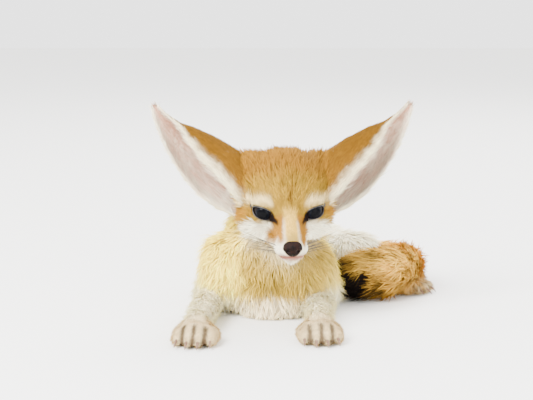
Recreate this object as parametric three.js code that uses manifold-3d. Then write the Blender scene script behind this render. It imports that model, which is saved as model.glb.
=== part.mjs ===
// A young fennec fox lying on its breast with its head up, life size.
// Millimetres, +Z up. The fox looks along -Y, and its own left side is +X.
// The origin is where the breastbone rests on the floor.
import * as THREE from "three";
import { mergeVertices } from "three/addons/utils/BufferGeometryUtils.js";
import Module from "manifold-3d";

const wasm = await Module();
wasm.setup();

// Driving dimensions
const gap = 0.3; // kept between neighbouring parts
const headPlace = { at: [13, -30, 90], pitch: 8, yaw: 5 }; // degrees: nose down, nose to the fox's left
const eye = { spread: 18, forward: 22.5, up: 3.8, radius: 9 };
const earThickness = { base: 2.6, rim: 1.5 };
const clawSize = { length: 7, radius: 1.3, ahead: 26, up: 4.6 };
const sides = { left: 1, right: -1 };

const colour = {
  sand: 0xd9b169,
  cream: 0xeedcb0,
  white: 0xf3ece0,
  rust: 0xb87430,
  black: 0x231a15,
  nose: 0x4d3a36,
  eye: 0x1a2230,
  claw: 0x6f5546,
};

const rad = THREE.MathUtils.degToRad;
const point = (xyz) => new THREE.Vector3(...xyz);
const sum = (start, ...steps) =>
  steps.reduce((at, [way, far]) => at.addScaledVector(way, far), start.clone());

// Solids: a closed geometry made ready to be joined and cut, and back again

function solidOf(geometry) {
  const bare = new THREE.BufferGeometry();
  bare.setAttribute("position", geometry.getAttribute("position"));
  bare.setIndex(geometry.index);
  const merged = mergeVertices(bare, 1e-3);
  return new wasm.Manifold(
    new wasm.Mesh({
      numProp: 3,
      vertProperties: new Float32Array(merged.attributes.position.array),
      triVerts: new Uint32Array(merged.index.array),
    }),
  );
}

function geometryOf(solid) {
  const { vertProperties, triVerts } = solid.getMesh();
  const geometry = new THREE.BufferGeometry();
  geometry.setAttribute("position", new THREE.BufferAttribute(vertProperties, 3));
  geometry.setIndex(new THREE.BufferAttribute(triVerts, 1));
  geometry.computeVertexNormals();
  return geometry;
}

const join = (solids) => solids.reduce((whole, piece) => whole.add(piece));
const largest = (solid) =>
  solid.decompose().reduce((best, piece) => (piece.volume() > best.volume() ? piece : best));

// A solid's closed sphere, box or cone, moved and turned
function shaped(geometry, { at = [0, 0, 0], turn = [0, 0, 0], size = [1, 1, 1] }) {
  const quaternion = new THREE.Quaternion().setFromEuler(new THREE.Euler(...turn.map(rad)));
  geometry.applyMatrix4(new THREE.Matrix4().compose(point(at), quaternion, point(size)));
  return solidOf(geometry);
}

// Masses of the body. An egg has a centre, half sizes and a turn about Z, a rod two ends and radii.

function eggDistance(p, { at, size, heading = 0 }) {
  const turn = rad(heading);
  const [dx, dy, dz] = [p.x - at[0], p.y - at[1], p.z - at[2]];
  const x = (dx * Math.cos(turn) + dy * Math.sin(turn)) / size[0];
  const y = (dy * Math.cos(turn) - dx * Math.sin(turn)) / size[1];
  const z = dz / size[2];
  const reach = Math.hypot(x, y, z);
  const steepness = Math.hypot(x / size[0], y / size[1], z / size[2]);
  return steepness > 0 ? (reach * (reach - 1)) / steepness : -Math.min(...size);
}

function rodDistance(p, { from, to, radii }) {
  const start = point(from);
  const run = point(to).sub(start);
  const share = THREE.MathUtils.clamp(p.clone().sub(start).dot(run) / run.lengthSq(), 0, 1);
  return p.distanceTo(sum(start, [run, share])) - THREE.MathUtils.lerp(...radii, share);
}

// A form's surface is the soft union of its masses.
function formDistance(p, { masses, blend }) {
  const near = masses.map((mass) => (mass.from ? rodDistance(p, mass) : eggDistance(p, mass)));
  return -blend * Math.log(near.reduce((total, far) => total + Math.exp(-far / blend), 0));
}

const march = { least: 0.8, share: 0.6, reach: 120 };

// The first place where a ray from inside the form leaves it
function cast(start, way, form, grow) {
  let near = 0;
  let far = 0;
  while (far < march.reach) {
    const inside = grow - formDistance(sum(start, [way, far]), form);
    if (inside <= 0) break;
    near = far;
    far += Math.max(march.least, inside * march.share);
  }
  for (let halving = 0; halving < 12; halving++) {
    const middle = (near + far) / 2;
    if (formDistance(sum(start, [way, middle]), form) < grow) near = middle;
    else far = middle;
  }
  return sum(start, [way, far]);
}

const curves = new Map();

function curveOf(line) {
  if (!curves.has(line)) curves.set(line, new THREE.CatmullRomCurve3(line.map(point)));
  return curves.get(line);
}

// The centre, and the ways along, across and up, at a share of a form's line
function frameAt({ line, across = [1, 0, 0] }, share) {
  const curve = curveOf(line);
  const along = curve.getTangent(share);
  const width = point(across).addScaledVector(along, -point(across).dot(along)).normalize();
  return { centre: curve.getPoint(share), along, width, height: along.clone().cross(width) };
}

// A sphere's rings pushed out from the form's line to its surface, with round ends
function wrap(form, grow = 0) {
  const { rings = 20, around = 16, endRings = 3 } = form;
  const sphere = new THREE.SphereGeometry(1, around, rings);
  const spots = sphere.getAttribute("position");
  const endShare = endRings / rings;
  for (let i = 0; i < spots.count; i++) {
    const spot = new THREE.Vector3().fromBufferAttribute(spots, i);
    const place = Math.acos(THREE.MathUtils.clamp(spot.y, -1, 1)) / Math.PI;
    const share = THREE.MathUtils.clamp((place - endShare) / (1 - 2 * endShare), 0, 1);
    const { centre, along, width, height } = frameAt(form, share);
    const flat = Math.hypot(spot.x, spot.z) || 1;
    const out = sum(new THREE.Vector3(), [width, spot.x / flat], [height, spot.z / flat]);
    const endTurn = Math.min(place, 1 - place) / endShare; // 0 at the pole, 1 where the line begins
    if (endTurn < 1) {
      const lean = (endTurn * Math.PI) / 2;
      out.multiplyScalar(Math.sin(lean));
      out.addScaledVector(along, (place < 0.5 ? -1 : 1) * Math.cos(lean));
    }
    const hit = cast(centre, out.normalize(), form, grow);
    spots.setXYZ(i, hit.x, hit.y, hit.z);
  }
  return solidOf(sphere);
}

// Locks of the long coat

const lockOutline = [0.6, 1, 0.72, 0]; // share of the width, from the root to the tip
const lockFlatness = 0.34;
const random = seeded(7);

function seeded(seed) {
  let state = seed;
  return (low, high) => {
    state = (state * 48271) % 2147483647;
    return low + ((high - low) * state) / 2147483647;
  };
}

// Where a ray from inside a form comes out: the spot, the way out of the surface, and the coat's lie on it
function siteAt(form, start, way, lie, depth = 0) {
  const spot = cast(start, way.clone().normalize(), form, -depth);
  const nearby = (axis, far) => formDistance(sum(spot, [axis, far]), form);
  const slope = (axis) => nearby(axis, 0.5) - nearby(axis, -0.5);
  const normal = new THREE.Vector3(slope(point([1, 0, 0])), slope(point([0, 1, 0])), slope(point([0, 0, 1])));
  normal.normalize();
  return { spot, normal, lie: sum(lie, [normal, -lie.dot(normal)]).normalize() };
}

// A flat lock, rooted under the surface, that bends along the lie and tapers to its tip
function lockSolid({ spot, normal, lie, length, width, lift, sink, sway }, grow) {
  const side = lie.clone().cross(normal).normalize();
  const curve = new THREE.CubicBezierCurve3(
    sum(spot, [normal, -sink], [lie, -0.1 * length]),
    sum(spot, [normal, 0.45 * lift], [lie, 0.2 * length]),
    sum(spot, [normal, lift], [lie, 0.6 * length], [side, 0.3 * sway]),
    sum(spot, [normal, 0.9 * lift], [lie, length], [side, sway]),
  );
  const cone = new THREE.ConeGeometry(1, 1, 4, 3);
  const spots = cone.getAttribute("position");
  for (let i = 0; i < spots.count; i++) {
    const share = spots.getY(i) + 0.5;
    const fullness = share < 1 ? lockOutline[Math.round(3 * share)] / (1 - share) : 0;
    const along = curve.getTangent(share);
    const across = sum(side, [along, -side.dot(along)]).normalize();
    const up = across.clone().cross(along);
    const spot = sum(
      curve.getPoint(share),
      [across, spots.getX(i) * fullness * (width / 2 + grow)],
      [up, spots.getZ(i) * fullness * ((lockFlatness * width) / 2 + grow)],
      [along, share < 1 ? 0 : grow],
    );
    spots.setXYZ(i, spot.x, spot.y, spot.z);
  }
  return solidOf(cone);
}

// Every part in turn: it keeps clear of all that were placed before it, and of the floor.

const fox = new THREE.Group();
const headGroup = new THREE.Group();
headGroup.position.set(...headPlace.at);
headGroup.rotation.set(rad(headPlace.pitch), 0, rad(headPlace.yaw), "ZXY");
fox.add(headGroup);
fox.updateMatrixWorld(true);

const floor = shaped(new THREE.BoxGeometry(900, 900, 100), { at: [0, 0, -50] });
const placed = [];
const meets = (a, b) => [0, 1, 2].every((i) => a.min[i] <= b.max[i] && b.min[i] <= a.max[i]);

// build(grow) gives the part's solid, in its group's own frame, as large as it is or grown by the gap
function place(name, tint, build, { group = fox, roughness = 0.85 } = {}) {
  const toWorld = group.matrixWorld;
  let solid = build(0).transform(toWorld.elements).subtract(floor);
  const box = solid.boundingBox();
  const near = placed.filter((other) => meets(box, other.boundingBox()));
  solid = largest(near.reduce((left, other) => left.subtract(other), solid));
  placed.push(build(gap).transform(toWorld.elements));
  const geometry = geometryOf(solid).applyMatrix4(toWorld.clone().invert());
  const material = new THREE.MeshStandardMaterial({ color: tint, roughness, metalness: 0 });
  const mesh = new THREE.Mesh(geometry, material);
  mesh.name = name;
  group.add(mesh);
}

const mirrored = (mass) => [
  mass,
  { ...mass, at: [-mass.at[0], mass.at[1], mass.at[2]], heading: -(mass.heading ?? 0) },
];

// Head, in its own frame: the nose points along -Y

const headForm = {
  line: [[0, -55, -15], [0, -42, -9], [0, -24, -3], [0, -4, 1], [0, 14, 3], [0, 26, 2]],
  rings: 23,
  around: 20,
  endRings: 5,
  blend: 2.5,
  masses: [
    { at: [0, 5, 10], size: [35, 37, 34] },
    ...mirrored({ at: [24, 12, 25], size: [15, 15, 15] }),
    { from: [0, -28, -4], to: [0, -55, -14], radii: [15, 8.5] },
    { from: [0, -32, 3], to: [0, -57, -9.5], radii: [7, 4] },
    { at: [0, -4, -16], size: [22, 22, 14] },
    ...mirrored({ at: [15, -21, 11], size: [12, 9, 8] }),
    ...mirrored({ at: [20, 0, -7], size: [15, 20, 16] }),
    ...mirrored({ at: [31, 14, 14], size: [10, 13, 18] }),
    ...mirrored({ at: [6, -50, -18], size: [8.5, 10, 7] }),
  ],
};

const noseForm = { at: [0, -60, -13.5], size: [7.6, 5, 5.6] };

function noseSolid(grow) {
  const leather = shaped(new THREE.SphereGeometry(1, 10, 8), {
    at: noseForm.at,
    size: noseForm.size.map((half) => half + grow),
  });
  if (grow) return leather;
  const nostrils = [1, -1].map((side) =>
    shaped(new THREE.SphereGeometry(1, 8, 6), {
      at: [side * 3.4, -64.6, -14],
      size: [1.5, 2.2, 1.2],
      turn: [0, side * 25, 0],
    }),
  );
  return nostrils.reduce((whole, hole) => whole.subtract(hole), leather);
}

function eyeSolid(side, grow) {
  return shaped(new THREE.SphereGeometry(eye.radius + grow, 12, 9), {
    at: [side * eye.spread, -eye.forward, eye.up],
  });
}

// The almond between the lids, cut along the eye's gaze
const lids = { thickness: 1.5, halfWidth: 9.8, rise: 3.8, fall: 4.4, slant: 22, gaze: 16 };

function lidOpening(side) {
  const almond = new THREE.Shape();
  almond.moveTo(-lids.halfWidth, 0);
  almond.quadraticCurveTo(side * lids.halfWidth * 0.2, 2 * lids.rise, lids.halfWidth, 0);
  almond.quadraticCurveTo(-side * lids.halfWidth * 0.1, -2 * lids.fall, -lids.halfWidth, 0);
  const prism = new THREE.ExtrudeGeometry(almond, { depth: 16, bevelEnabled: false, curveSegments: 7 });
  prism.rotateZ(rad(side * lids.slant));
  prism.rotateX(rad(90));
  prism.rotateZ(rad(side * lids.gaze));
  prism.translate(side * eye.spread, -eye.forward, eye.up);
  return solidOf(prism);
}

// Fluff of the cheeks, in rows from below the ear to the jaw
const cheek = { rows: [-5, 9], locks: 3, high: 5, low: -52, length: 23, width: 14, lift: 5 };

function cheekSites(side) {
  const sites = [];
  cheek.rows.forEach((back, row) => {
    for (let i = 0; i < cheek.locks; i++) {
      const lean = rad(THREE.MathUtils.lerp(cheek.high, cheek.low, (i + row / 2) / (cheek.locks - 0.5)));
      const way = point([side * Math.cos(lean), 0.1, Math.sin(lean)]);
      sites.push({
        ...siteAt(headForm, point([side * 6, back, -4]), way, point([side * 0.35, 0.6, -0.7])),
        length: cheek.length * random(0.85, 1.15),
        width: cheek.width * random(0.9, 1.15),
        lift: cheek.lift * random(0.8, 1.2),
        sink: 4,
        sway: random(-2, 2),
      });
    }
  });
  return sites;
}

const cheekLocks = [...cheekSites(sides.left), ...cheekSites(sides.right)];

function headSolid(grow) {
  let head = join([wrap(headForm, grow), ...cheekLocks.map((site) => lockSolid(site, grow))]);
  for (const side of Object.values(sides)) {
    const lidDome = shaped(new THREE.SphereGeometry(eye.radius + lids.thickness + grow, 14, 10), {
      at: [side * eye.spread, -eye.forward, eye.up],
    });
    head = head.add(lidDome);
    if (!grow) head = head.subtract(eyeSolid(side, gap)).subtract(lidOpening(side));
  }
  return head;
}

for (const [name, side] of Object.entries(sides))
  place(`eye_${name}`, colour.eye, (grow) => eyeSolid(side, grow), { group: headGroup, roughness: 0.1 });
place("nose", colour.nose, noseSolid, { group: headGroup, roughness: 0.5 });
placed.splice(0, 2); // the head cuts its own sockets, open at the lids
place("head", colour.sand, headSolid, { group: headGroup });

const jawForm = {
  line: [[0, -49, -23.5], [0, -35, -23], [0, -16, -23]],
  rings: 12,
  around: 12,
  blend: 2,
  masses: [{ from: [0, -14, -23], to: [0, -50, -23], radii: [11, 5.2] }],
};
place("lower_jaw", colour.white, (grow) => wrap(jawForm, grow), { group: headGroup });

// Ears: a scoop whose wall runs round the back of its axis, and opens forwards and outwards

const earForm = {
  axis: [[36, 10, 9], [49.5, 13.6, 22], [62.5, 16.4, 33], [75, 19, 44], [85.4, 21, 53.5],
    [93.8, 23, 64], [100, 25, 74.5]],
  radius: [19, 22.5, 20, 15.4, 9.8, 5, 1.3],
  wrapHalf: [140, 134, 131, 126, 108, 95, 90], // degrees of wall on each side of the back
  openTurn: [44, 43, 42, 36, 20, 10, 5], // degrees that the mouth is turned outwards
};

// A value at a share of the ear, from its evenly spaced stations
function along(values, share) {
  const spot = share * (values.length - 1);
  const low = Math.min(Math.floor(spot), values.length - 2);
  return THREE.MathUtils.lerp(values[low], values[low + 1], spot - low);
}

function earSolid(side, grow) {
  const sheet = new THREE.BoxGeometry(1, 1, 1, 10, 12, 1);
  const curve = new THREE.CatmullRomCurve3(earForm.axis.map(point));
  const spots = sheet.getAttribute("position");
  for (let i = 0; i < spots.count; i++) {
    const share = spots.getY(i) + 0.5;
    const centre = curve.getPoint(share);
    const axis = curve.getTangent(share);
    const outwards = new THREE.Vector3(0.7, 0, -0.71);
    outwards.addScaledVector(axis, -outwards.dot(axis)).normalize();
    const forwards = outwards.clone().cross(axis).normalize();
    if (forwards.y > 0) forwards.negate();
    const round = 2 * spots.getX(i) * along(earForm.wrapHalf, share);
    const angle = rad(along(earForm.openTurn, share) + 180 + round);
    const rim = Math.abs(2 * spots.getX(i)) ** 2;
    const thickness = THREE.MathUtils.lerp(earThickness.base, earThickness.rim, Math.max(rim, share));
    const radius = along(earForm.radius, share) + spots.getZ(i) * (thickness + 2 * grow);
    const way = sum(new THREE.Vector3(), [forwards, Math.cos(angle)], [outwards, Math.sin(angle)]);
    const spot = sum(centre, [way, Math.max(radius, 0.4 + spots.getZ(i) * 0.4)]);
    spots.setXYZ(i, side * spot.x, spot.y, spot.z);
  }
  if (side < 0) sheet.index.array.reverse();
  return solidOf(sheet);
}

for (const [name, side] of Object.entries(sides))
  place(`ear_${name}`, colour.rust, (grow) => earSolid(side, grow), { group: headGroup });

// Trunk: one form from the neck to the rump, parted by thin cuts across its line

const trunkForm = {
  line: [[13, -10, 88], [9, 4, 74], [4, 22, 58], [4, 48, 46], [16, 78, 42], [38, 108, 38], [60, 136, 36]],
  rings: 22,
  around: 18,
  endRings: 4,
  blend: 5,
  masses: [
    { from: [12, -12, 84], to: [3, 14, 64], radii: [29, 34] },
    { at: [0, 14, 34], size: [44, 46, 42] },
    { at: [4, -10, 15], size: [31, 28, 27] },
    { at: [2, -14, 42], size: [36, 25, 26] },
    { at: [2, 26, 56], size: [28, 36, 26] },
    { at: [-35, -6, 40], size: [19, 27, 26] },
    { at: [35, -6, 38], size: [18, 27, 24] },
    { at: [12, 66, 33], size: [37, 46, 33] },
    { at: [16, 78, 40], size: [28, 40, 27] },
    { at: [40, 114, 27], size: [31, 42, 25], heading: -38 },
  ],
};

// A plane through a point; the part behind it comes before the part in front
const trunkCuts = [
  { at: [10, -4, 66], facing: [-0.1, 0.42, -0.9] },
  { at: [4, 34, 50], facing: [0, 1, -0.15] },
  { at: [16, 80, 40], facing: [0.4, 0.9, 0] },
];

// The piece between two cuts
function between(whole, before, after, grow) {
  let piece = whole;
  for (const [cut, turn] of [[before, 1], [after, -1]]) {
    if (!cut) continue;
    const inwards = point(cut.facing).normalize().multiplyScalar(turn);
    piece = piece.trimByPlane(inwards.toArray(), inwards.dot(point(cut.at)) + (grow ? -gap : 0));
  }
  return piece;
}

// The ruff hangs in tiers from the neck and the breast, over a core that lies deeper
const ruff = { depth: 6, tiers: 4, top: 66, drop: 15, locks: 6, spread: 68, length: 26, width: 18 };

function ruffSites() {
  const sites = [];
  for (let tier = 0; tier < ruff.tiers; tier++) {
    const height = ruff.top - tier * ruff.drop;
    for (let i = 0; i < ruff.locks; i++) {
      const turn = rad(ruff.spread * ((2 * (i + (tier % 2) / 2)) / (ruff.locks - 0.5) - 1) + random(-4, 4));
      const start = point([3, 0, height + random(-3, 3)]);
      const way = point([Math.sin(turn), -Math.cos(turn), 0]);
      const lie = point([-0.25 * Math.sin(turn), 0, -1]);
      sites.push({
        ...siteAt(trunkForm, start, way, lie, ruff.depth),
        length: ruff.length * random(0.85, 1.15),
        width: ruff.width * random(0.9, 1.15),
        lift: ruff.depth * random(0.75, 1.05),
        sink: 6,
        sway: random(-4, 4),
      });
    }
  }
  return sites;
}

const ruffLocks = ruffSites();
const inNeck = ({ spot }) => spot.clone().sub(point(trunkCuts[0].at)).dot(point(trunkCuts[0].facing)) < 0;

function trunkPart(i, depth, grow) {
  return between(wrap(trunkForm, grow - depth), trunkCuts[i - 1], trunkCuts[i], grow);
}

["neck", "chest", "loin", "hips"].forEach((name, i) =>
  place(name, colour.cream, (grow) => {
    const locks = i < 2 ? ruffLocks.filter((site) => inNeck(site) === (i === 0)) : [];
    return join([trunkPart(i, i < 2 ? ruff.depth : 0, grow), ...locks.map((site) => lockSolid(site, grow))]);
  }),
);

// Legs

const upperArm = (side) => ({
  line: [[side * 37, -10, 29], [side * 42, -4, 23], [side * 44, 4, 17]],
  rings: 12,
  around: 12,
  blend: 3,
  masses: [{ from: [side * 37, -8, 30], to: [side * 43, 4, 17], radii: [17, 15] }],
});

const foreLegs = {
  right: { elbow: [-45, 2, 13], wrist: [-53, -88, 11], heading: -6 },
  left: { elbow: [42, 2, 13], wrist: [38, -82, 11], heading: 3 },
};
const paw = {
  ahead: 14, // from the wrist to the middle of the toes
  toeSpread: 8.2,
  toeLength: 15,
  toeRadius: 5.2,
  toeBack: 10,
  toeSlope: 8, // degrees down to the tip
  toePress: 0.4, // how far its weight flattens a toe
  outerSetBack: 5,
};

const foreArm = ({ elbow, wrist, heading }) => ({
  line: [elbow, elbow.map((v, i) => (v + wrist[i]) / 2), wrist, [wrist[0], wrist[1] - paw.ahead, 9]],
  rings: 13,
  around: 9,
  blend: 3,
  masses: [
    { from: elbow, to: wrist, radii: [13.5, 10] },
    { at: [wrist[0], wrist[1] - 12, 8], size: [14, 15, 9.5], heading },
  ],
});

const toeOffsets = [-1.5, -0.5, 0.5, 1.5]; // in toe spreads from the middle of the foot

function toeSolid({ at, heading, size }, offset, grow) {
  const setBack = Math.abs(offset) > 1 ? paw.outerSetBack : 0;
  const toe = new THREE.CapsuleGeometry(paw.toeRadius * size + grow, paw.toeLength * size, 2, 6);
  toe.rotateX(rad(paw.toeSlope));
  toe.translate(
    offset * paw.toeSpread * size,
    -paw.toeBack * size + setBack,
    paw.toeRadius * size - paw.toePress,
  );
  toe.rotateZ(rad(heading));
  toe.translate(...at);
  return solidOf(toe);
}

function clawSolid({ at, heading, size }, offset, grow) {
  const setBack = Math.abs(offset) > 1 ? paw.outerSetBack : 0;
  const claw = new THREE.ConeGeometry(clawSize.radius + grow, clawSize.length * size + grow, 5, 1);
  claw.rotateX(Math.PI); // its point forwards
  claw.translate(offset * paw.toeSpread * size, -clawSize.ahead * size + setBack, clawSize.up * size);
  claw.rotateZ(rad(heading));
  claw.translate(...at);
  return solidOf(claw);
}

for (const [name, side] of Object.entries(sides)) {
  const leg = foreLegs[name];
  const foot = { at: [leg.wrist[0], leg.wrist[1] - paw.ahead, 0], heading: leg.heading, size: 1 };
  place(`upper_arm_${name}`, colour.cream, (grow) => wrap(upperArm(side), grow));
  place(`forearm_${name}`, colour.cream, (grow) =>
    wrap(foreArm(leg), grow).trimByPlane([0, 1, 0], leg.wrist[1] - (grow ? gap : 0)),
  );
  place(`fore_paw_${name}`, colour.white, (grow) =>
    join([wrap(foreArm(leg), grow), ...toeOffsets.map((offset) => toeSolid(foot, offset, grow))]),
  );
  toeOffsets.forEach((offset, i) =>
    place(`fore_claw_${name}_${i + 1}`, colour.claw, (grow) => clawSolid(foot, offset, grow)),
  );
}

const hindLegs = {
  left: { hip: [50, 120, 25], knee: [74, 80, 26.5], heel: [90, 128, 8], toe: [122, 74, 6.5] },
  right: { hip: [26, 112, 28], knee: [-6, 72, 26], heel: [-12, 128, 9], toe: [-30, 60, 7] },
};

const thigh = ({ hip, knee }) => ({
  line: [hip, hip.map((v, i) => (v + knee[i]) / 2), knee],
  rings: 13,
  around: 14,
  endRings: 4,
  blend: 3,
  masses: [{ from: hip, to: knee, radii: [22, 25] }],
});

const shank = ({ knee, heel }) => ({
  line: [[knee[0], knee[1], 17], heel],
  rings: 12,
  around: 10,
  blend: 3,
  masses: [{ from: [knee[0], knee[1], 15], to: heel, radii: [13, 8.5] }],
});

const foot = ({ heel, toe }) => ({
  line: [heel, toe],
  rings: 9,
  around: 8,
  blend: 3,
  masses: [{ from: heel, to: toe, radii: [8, 7.5] }],
});

for (const name of Object.keys(sides)) {
  const leg = hindLegs[name];
  const heading = THREE.MathUtils.radToDeg(Math.atan2(leg.toe[0] - leg.heel[0], leg.heel[1] - leg.toe[1]));
  const toes = { at: [leg.toe[0], leg.toe[1], 0], heading, size: 0.92 };
  place(`thigh_${name}`, colour.cream, (grow) => wrap(thigh(leg), grow));
  place(`shank_${name}`, colour.cream, (grow) => wrap(shank(leg), grow));
  place(`hind_foot_${name}`, colour.white, (grow) =>
    join([wrap(foot(leg), grow), ...toeOffsets.map((offset) => toeSolid(toes, offset, grow))]),
  );
  toeOffsets.forEach((offset, i) =>
    place(`hind_claw_${name}_${i + 1}`, colour.claw, (grow) => clawSolid(toes, offset, grow)),
  );
}

// Tail: three lengths of one line, from the rump round the heel to beside the left forearm

const tailForm = {
  line: [[62, 138, 26], [84, 143, 20], [102, 133, 17], [112, 112, 18], [115, 87, 20], [111, 62, 22.5],
    [96, 43, 23.5], [74, 36, 22], [56, 36, 18]],
  across: [0, 0, 1],
  around: 12,
  blend: 2,
  masses: [],
};
const tailRadii = [11, 12.5, 14, 16, 19, 22.5, 23.5, 21, 13];
for (let i = 0; i + 1 < tailForm.line.length; i++) {
  const [from, to] = tailForm.line.slice(i, i + 2);
  tailForm.masses.push({ from, to, radii: tailRadii.slice(i, i + 2) });
}
const tailParts = { tail_base: [0, 0.33], tail_middle: [0.33, 0.7], tail_tip: [0.7, 1] };

// The brush: rings of locks that lie towards the tip, over a core half as thick
const brush = {
  core: 0.5, // share of the tail's radius
  start: 0.08,
  end: 0.97,
  rings: 7,
  around: 5,
  length: 46,
  width: 21,
  fullRadius: 22, // where the locks have their whole length and width
  clear: 2, // height kept over the floor
};
const coreForm = {
  ...tailForm,
  masses: tailForm.masses.map((mass) => ({
    ...mass,
    radii: mass.radii.map((radius) => radius * brush.core),
  })),
};

function brushSites() {
  const sites = [];
  for (let ring = 0; ring < brush.rings; ring++) {
    for (let i = 0; i < brush.around; i++) {
      const station = (ring + random(-0.2, 0.2)) / (brush.rings - 1);
      const share = THREE.MathUtils.lerp(brush.start, brush.end, station);
      const { centre, along: lie, width: up, height: across } = frameAt(tailForm, Math.min(share, 1));
      const turn = rad((360 * (i + (ring % 2) / 2)) / brush.around + random(-8, 8));
      const way = sum(new THREE.Vector3(), [up, Math.cos(turn)], [across, Math.sin(turn)]);
      const full = along(tailRadii, share);
      if (centre.z + full * way.z < brush.clear - 4) continue; // under the tail, on the floor
      const site = siteAt(coreForm, centre, way, lie);
      const room = centre.z + full * way.z < brush.clear ? 0.6 : 0.95;
      sites.push({
        ...site,
        share,
        length: brush.length * (0.2 + (0.8 * full) / brush.fullRadius) * random(0.9, 1.1),
        width: brush.width * (0.5 + (0.5 * full) / brush.fullRadius) * random(0.9, 1.15),
        lift: full * (1 - brush.core) * room * random(0.85, 1.1),
        sink: 4,
        sway: random(-4, 4),
      });
    }
  }
  return sites;
}

const brushLocks = brushSites();

function tailSolid([from, to], grow) {
  const curve = curveOf(tailForm.line);
  const line = [0, 0.25, 0.5, 0.75, 1].map((share) => curve.getPoint(from + (to - from) * share).toArray());
  let piece = wrap({ ...coreForm, line, rings: 8, around: 8 }, grow);
  for (const [share, facing] of [[from, 1], [to, -1]]) {
    if (share === 0 || share === 1) continue;
    const inwards = curve.getTangent(share).multiplyScalar(facing);
    piece = piece.trimByPlane(inwards.toArray(), inwards.dot(curve.getPoint(share)) + (grow ? -gap : 0));
  }
  const locks = brushLocks.filter(({ share }) => share >= from && (share < to || to === 1));
  return join([piece, ...locks.map((site) => lockSolid(site, grow))]);
}

for (const [name, span] of Object.entries(tailParts))
  place(name, name === "tail_tip" ? colour.black : colour.sand, (grow) => tailSolid(span, grow));

export default fox;
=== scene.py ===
import math
import bmesh
import bpy
import numpy as np
from mathutils import Euler, Matrix, Vector
from mathutils.kdtree import KDTree


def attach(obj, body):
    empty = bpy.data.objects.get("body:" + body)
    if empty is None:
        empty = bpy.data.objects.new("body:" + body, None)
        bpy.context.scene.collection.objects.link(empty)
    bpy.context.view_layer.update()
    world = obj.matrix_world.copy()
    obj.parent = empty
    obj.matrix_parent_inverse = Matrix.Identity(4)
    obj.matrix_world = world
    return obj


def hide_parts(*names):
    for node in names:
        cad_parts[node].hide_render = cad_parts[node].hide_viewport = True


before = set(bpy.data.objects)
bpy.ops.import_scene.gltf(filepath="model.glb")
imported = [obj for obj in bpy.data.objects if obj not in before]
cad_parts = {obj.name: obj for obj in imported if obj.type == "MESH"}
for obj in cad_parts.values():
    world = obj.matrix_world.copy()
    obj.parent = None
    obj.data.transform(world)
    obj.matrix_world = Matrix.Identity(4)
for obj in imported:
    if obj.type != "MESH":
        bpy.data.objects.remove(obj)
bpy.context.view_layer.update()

# A young fennec fox on its breast. Sizes are in millimetres and turned to metres as each mesh is finished.
mm = 0.001


# small helpers

def toLinear(hexColour):
    values = [int(hexColour[i:i + 2], 16) / 255 for i in (1, 3, 5)]
    return (*(v / 12.92 if v <= 0.04045 else ((v + 0.055) / 1.055) ** 2.4 for v in values), 1)


def smoothStep(low, high, values):
    share = np.clip((values - low) / (high - low), 0, 1)
    return share * share * (3 - 2 * share)


def unit(vectors):
    return vectors / np.maximum(np.linalg.norm(vectors, axis=-1, keepdims=True), 1e-9)


def mix(a, b, share):
    share = np.asarray(share)[..., None]
    return a * (1 - share) + np.asarray(b) * share


def turned(x, y, heading):
    angle = math.radians(heading)
    return x * math.cos(angle) - y * math.sin(angle), x * math.sin(angle) + y * math.cos(angle)


def meshFrom(work, name):
    mesh = bpy.data.meshes.new(name)
    work.to_mesh(mesh)
    work.free()
    return mesh


def joinInto(work, mesh):
    work.from_mesh(mesh)
    bpy.data.meshes.remove(mesh)


def smoothShade(mesh):
    mesh.polygons.foreach_set("use_smooth", [True] * len(mesh.polygons))


def objectFrom(mesh, name, material=None):
    piece = bpy.data.objects.new(name, mesh)
    bpy.context.scene.collection.objects.link(piece)
    if material:
        smoothShade(mesh)
        mesh.materials.append(material)
    return piece


def placeAll(verts, spots):
    for vert, spot in zip(verts, spots):
        vert.co = Vector(spot) * mm


def readTable(rows, key, width=3, kind=np.float32):
    flat = np.empty(len(rows) * width, kind)
    rows.foreach_get(key, flat)
    return flat.reshape(-1, width).astype(float if kind == np.float32 else int)


def pointsOf(mesh):
    return readTable(mesh.vertices, "co")


def putPoints(mesh, points):
    mesh.vertices.foreach_set("co", np.asarray(points, np.float32).ravel())
    mesh.update()


def node(tree, kind, links=(), **settings):
    made = tree.nodes.new(kind)
    for key, value in settings.items():
        if key in made.inputs:
            made.inputs[key].default_value = value
        else:
            setattr(made, key, value)
    for source, target in links:
        tree.links.new(source, made.inputs[target])
    return made


def newMaterial(name, **settings):
    material = bpy.data.materials.new(name)
    material.use_nodes = True
    tree = material.node_tree
    shader = tree.nodes["Principled BSDF"]
    for key, value in settings.items():
        shader.inputs[key.replace("_", " ")].default_value = value
    return material, tree, shader


def setStops(ramp, *stops):
    # colours along a ramp, each with its place from 0 to 1
    elements = ramp.color_ramp.elements
    while len(elements) < len(stops):
        elements.new(1.0)
    for i, (position, colour) in enumerate(stops):
        elements[i].position = position
        elements[i].color = toLinear(colour)


def perMetre(size):
    # scale of a pattern whose grains are this many millimetres apart
    return 1 / (size * mm)


# the head's own frame: its nose points along -Y
headPlace = {"at": (13, -30, 90), "pitch": 8, "yaw": 5}
headTurn = (Matrix.Rotation(math.radians(headPlace["yaw"]), 3, "Z")
            @ Matrix.Rotation(math.radians(headPlace["pitch"]), 3, "X"))
headAxes = np.array(headTurn)
headAt = np.array(headPlace["at"], float)


def fromHead(points):
    return np.asarray(points, float) @ headAxes.T + headAt


def toHead(points):
    return (np.asarray(points, float) - headAt) @ headAxes


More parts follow.
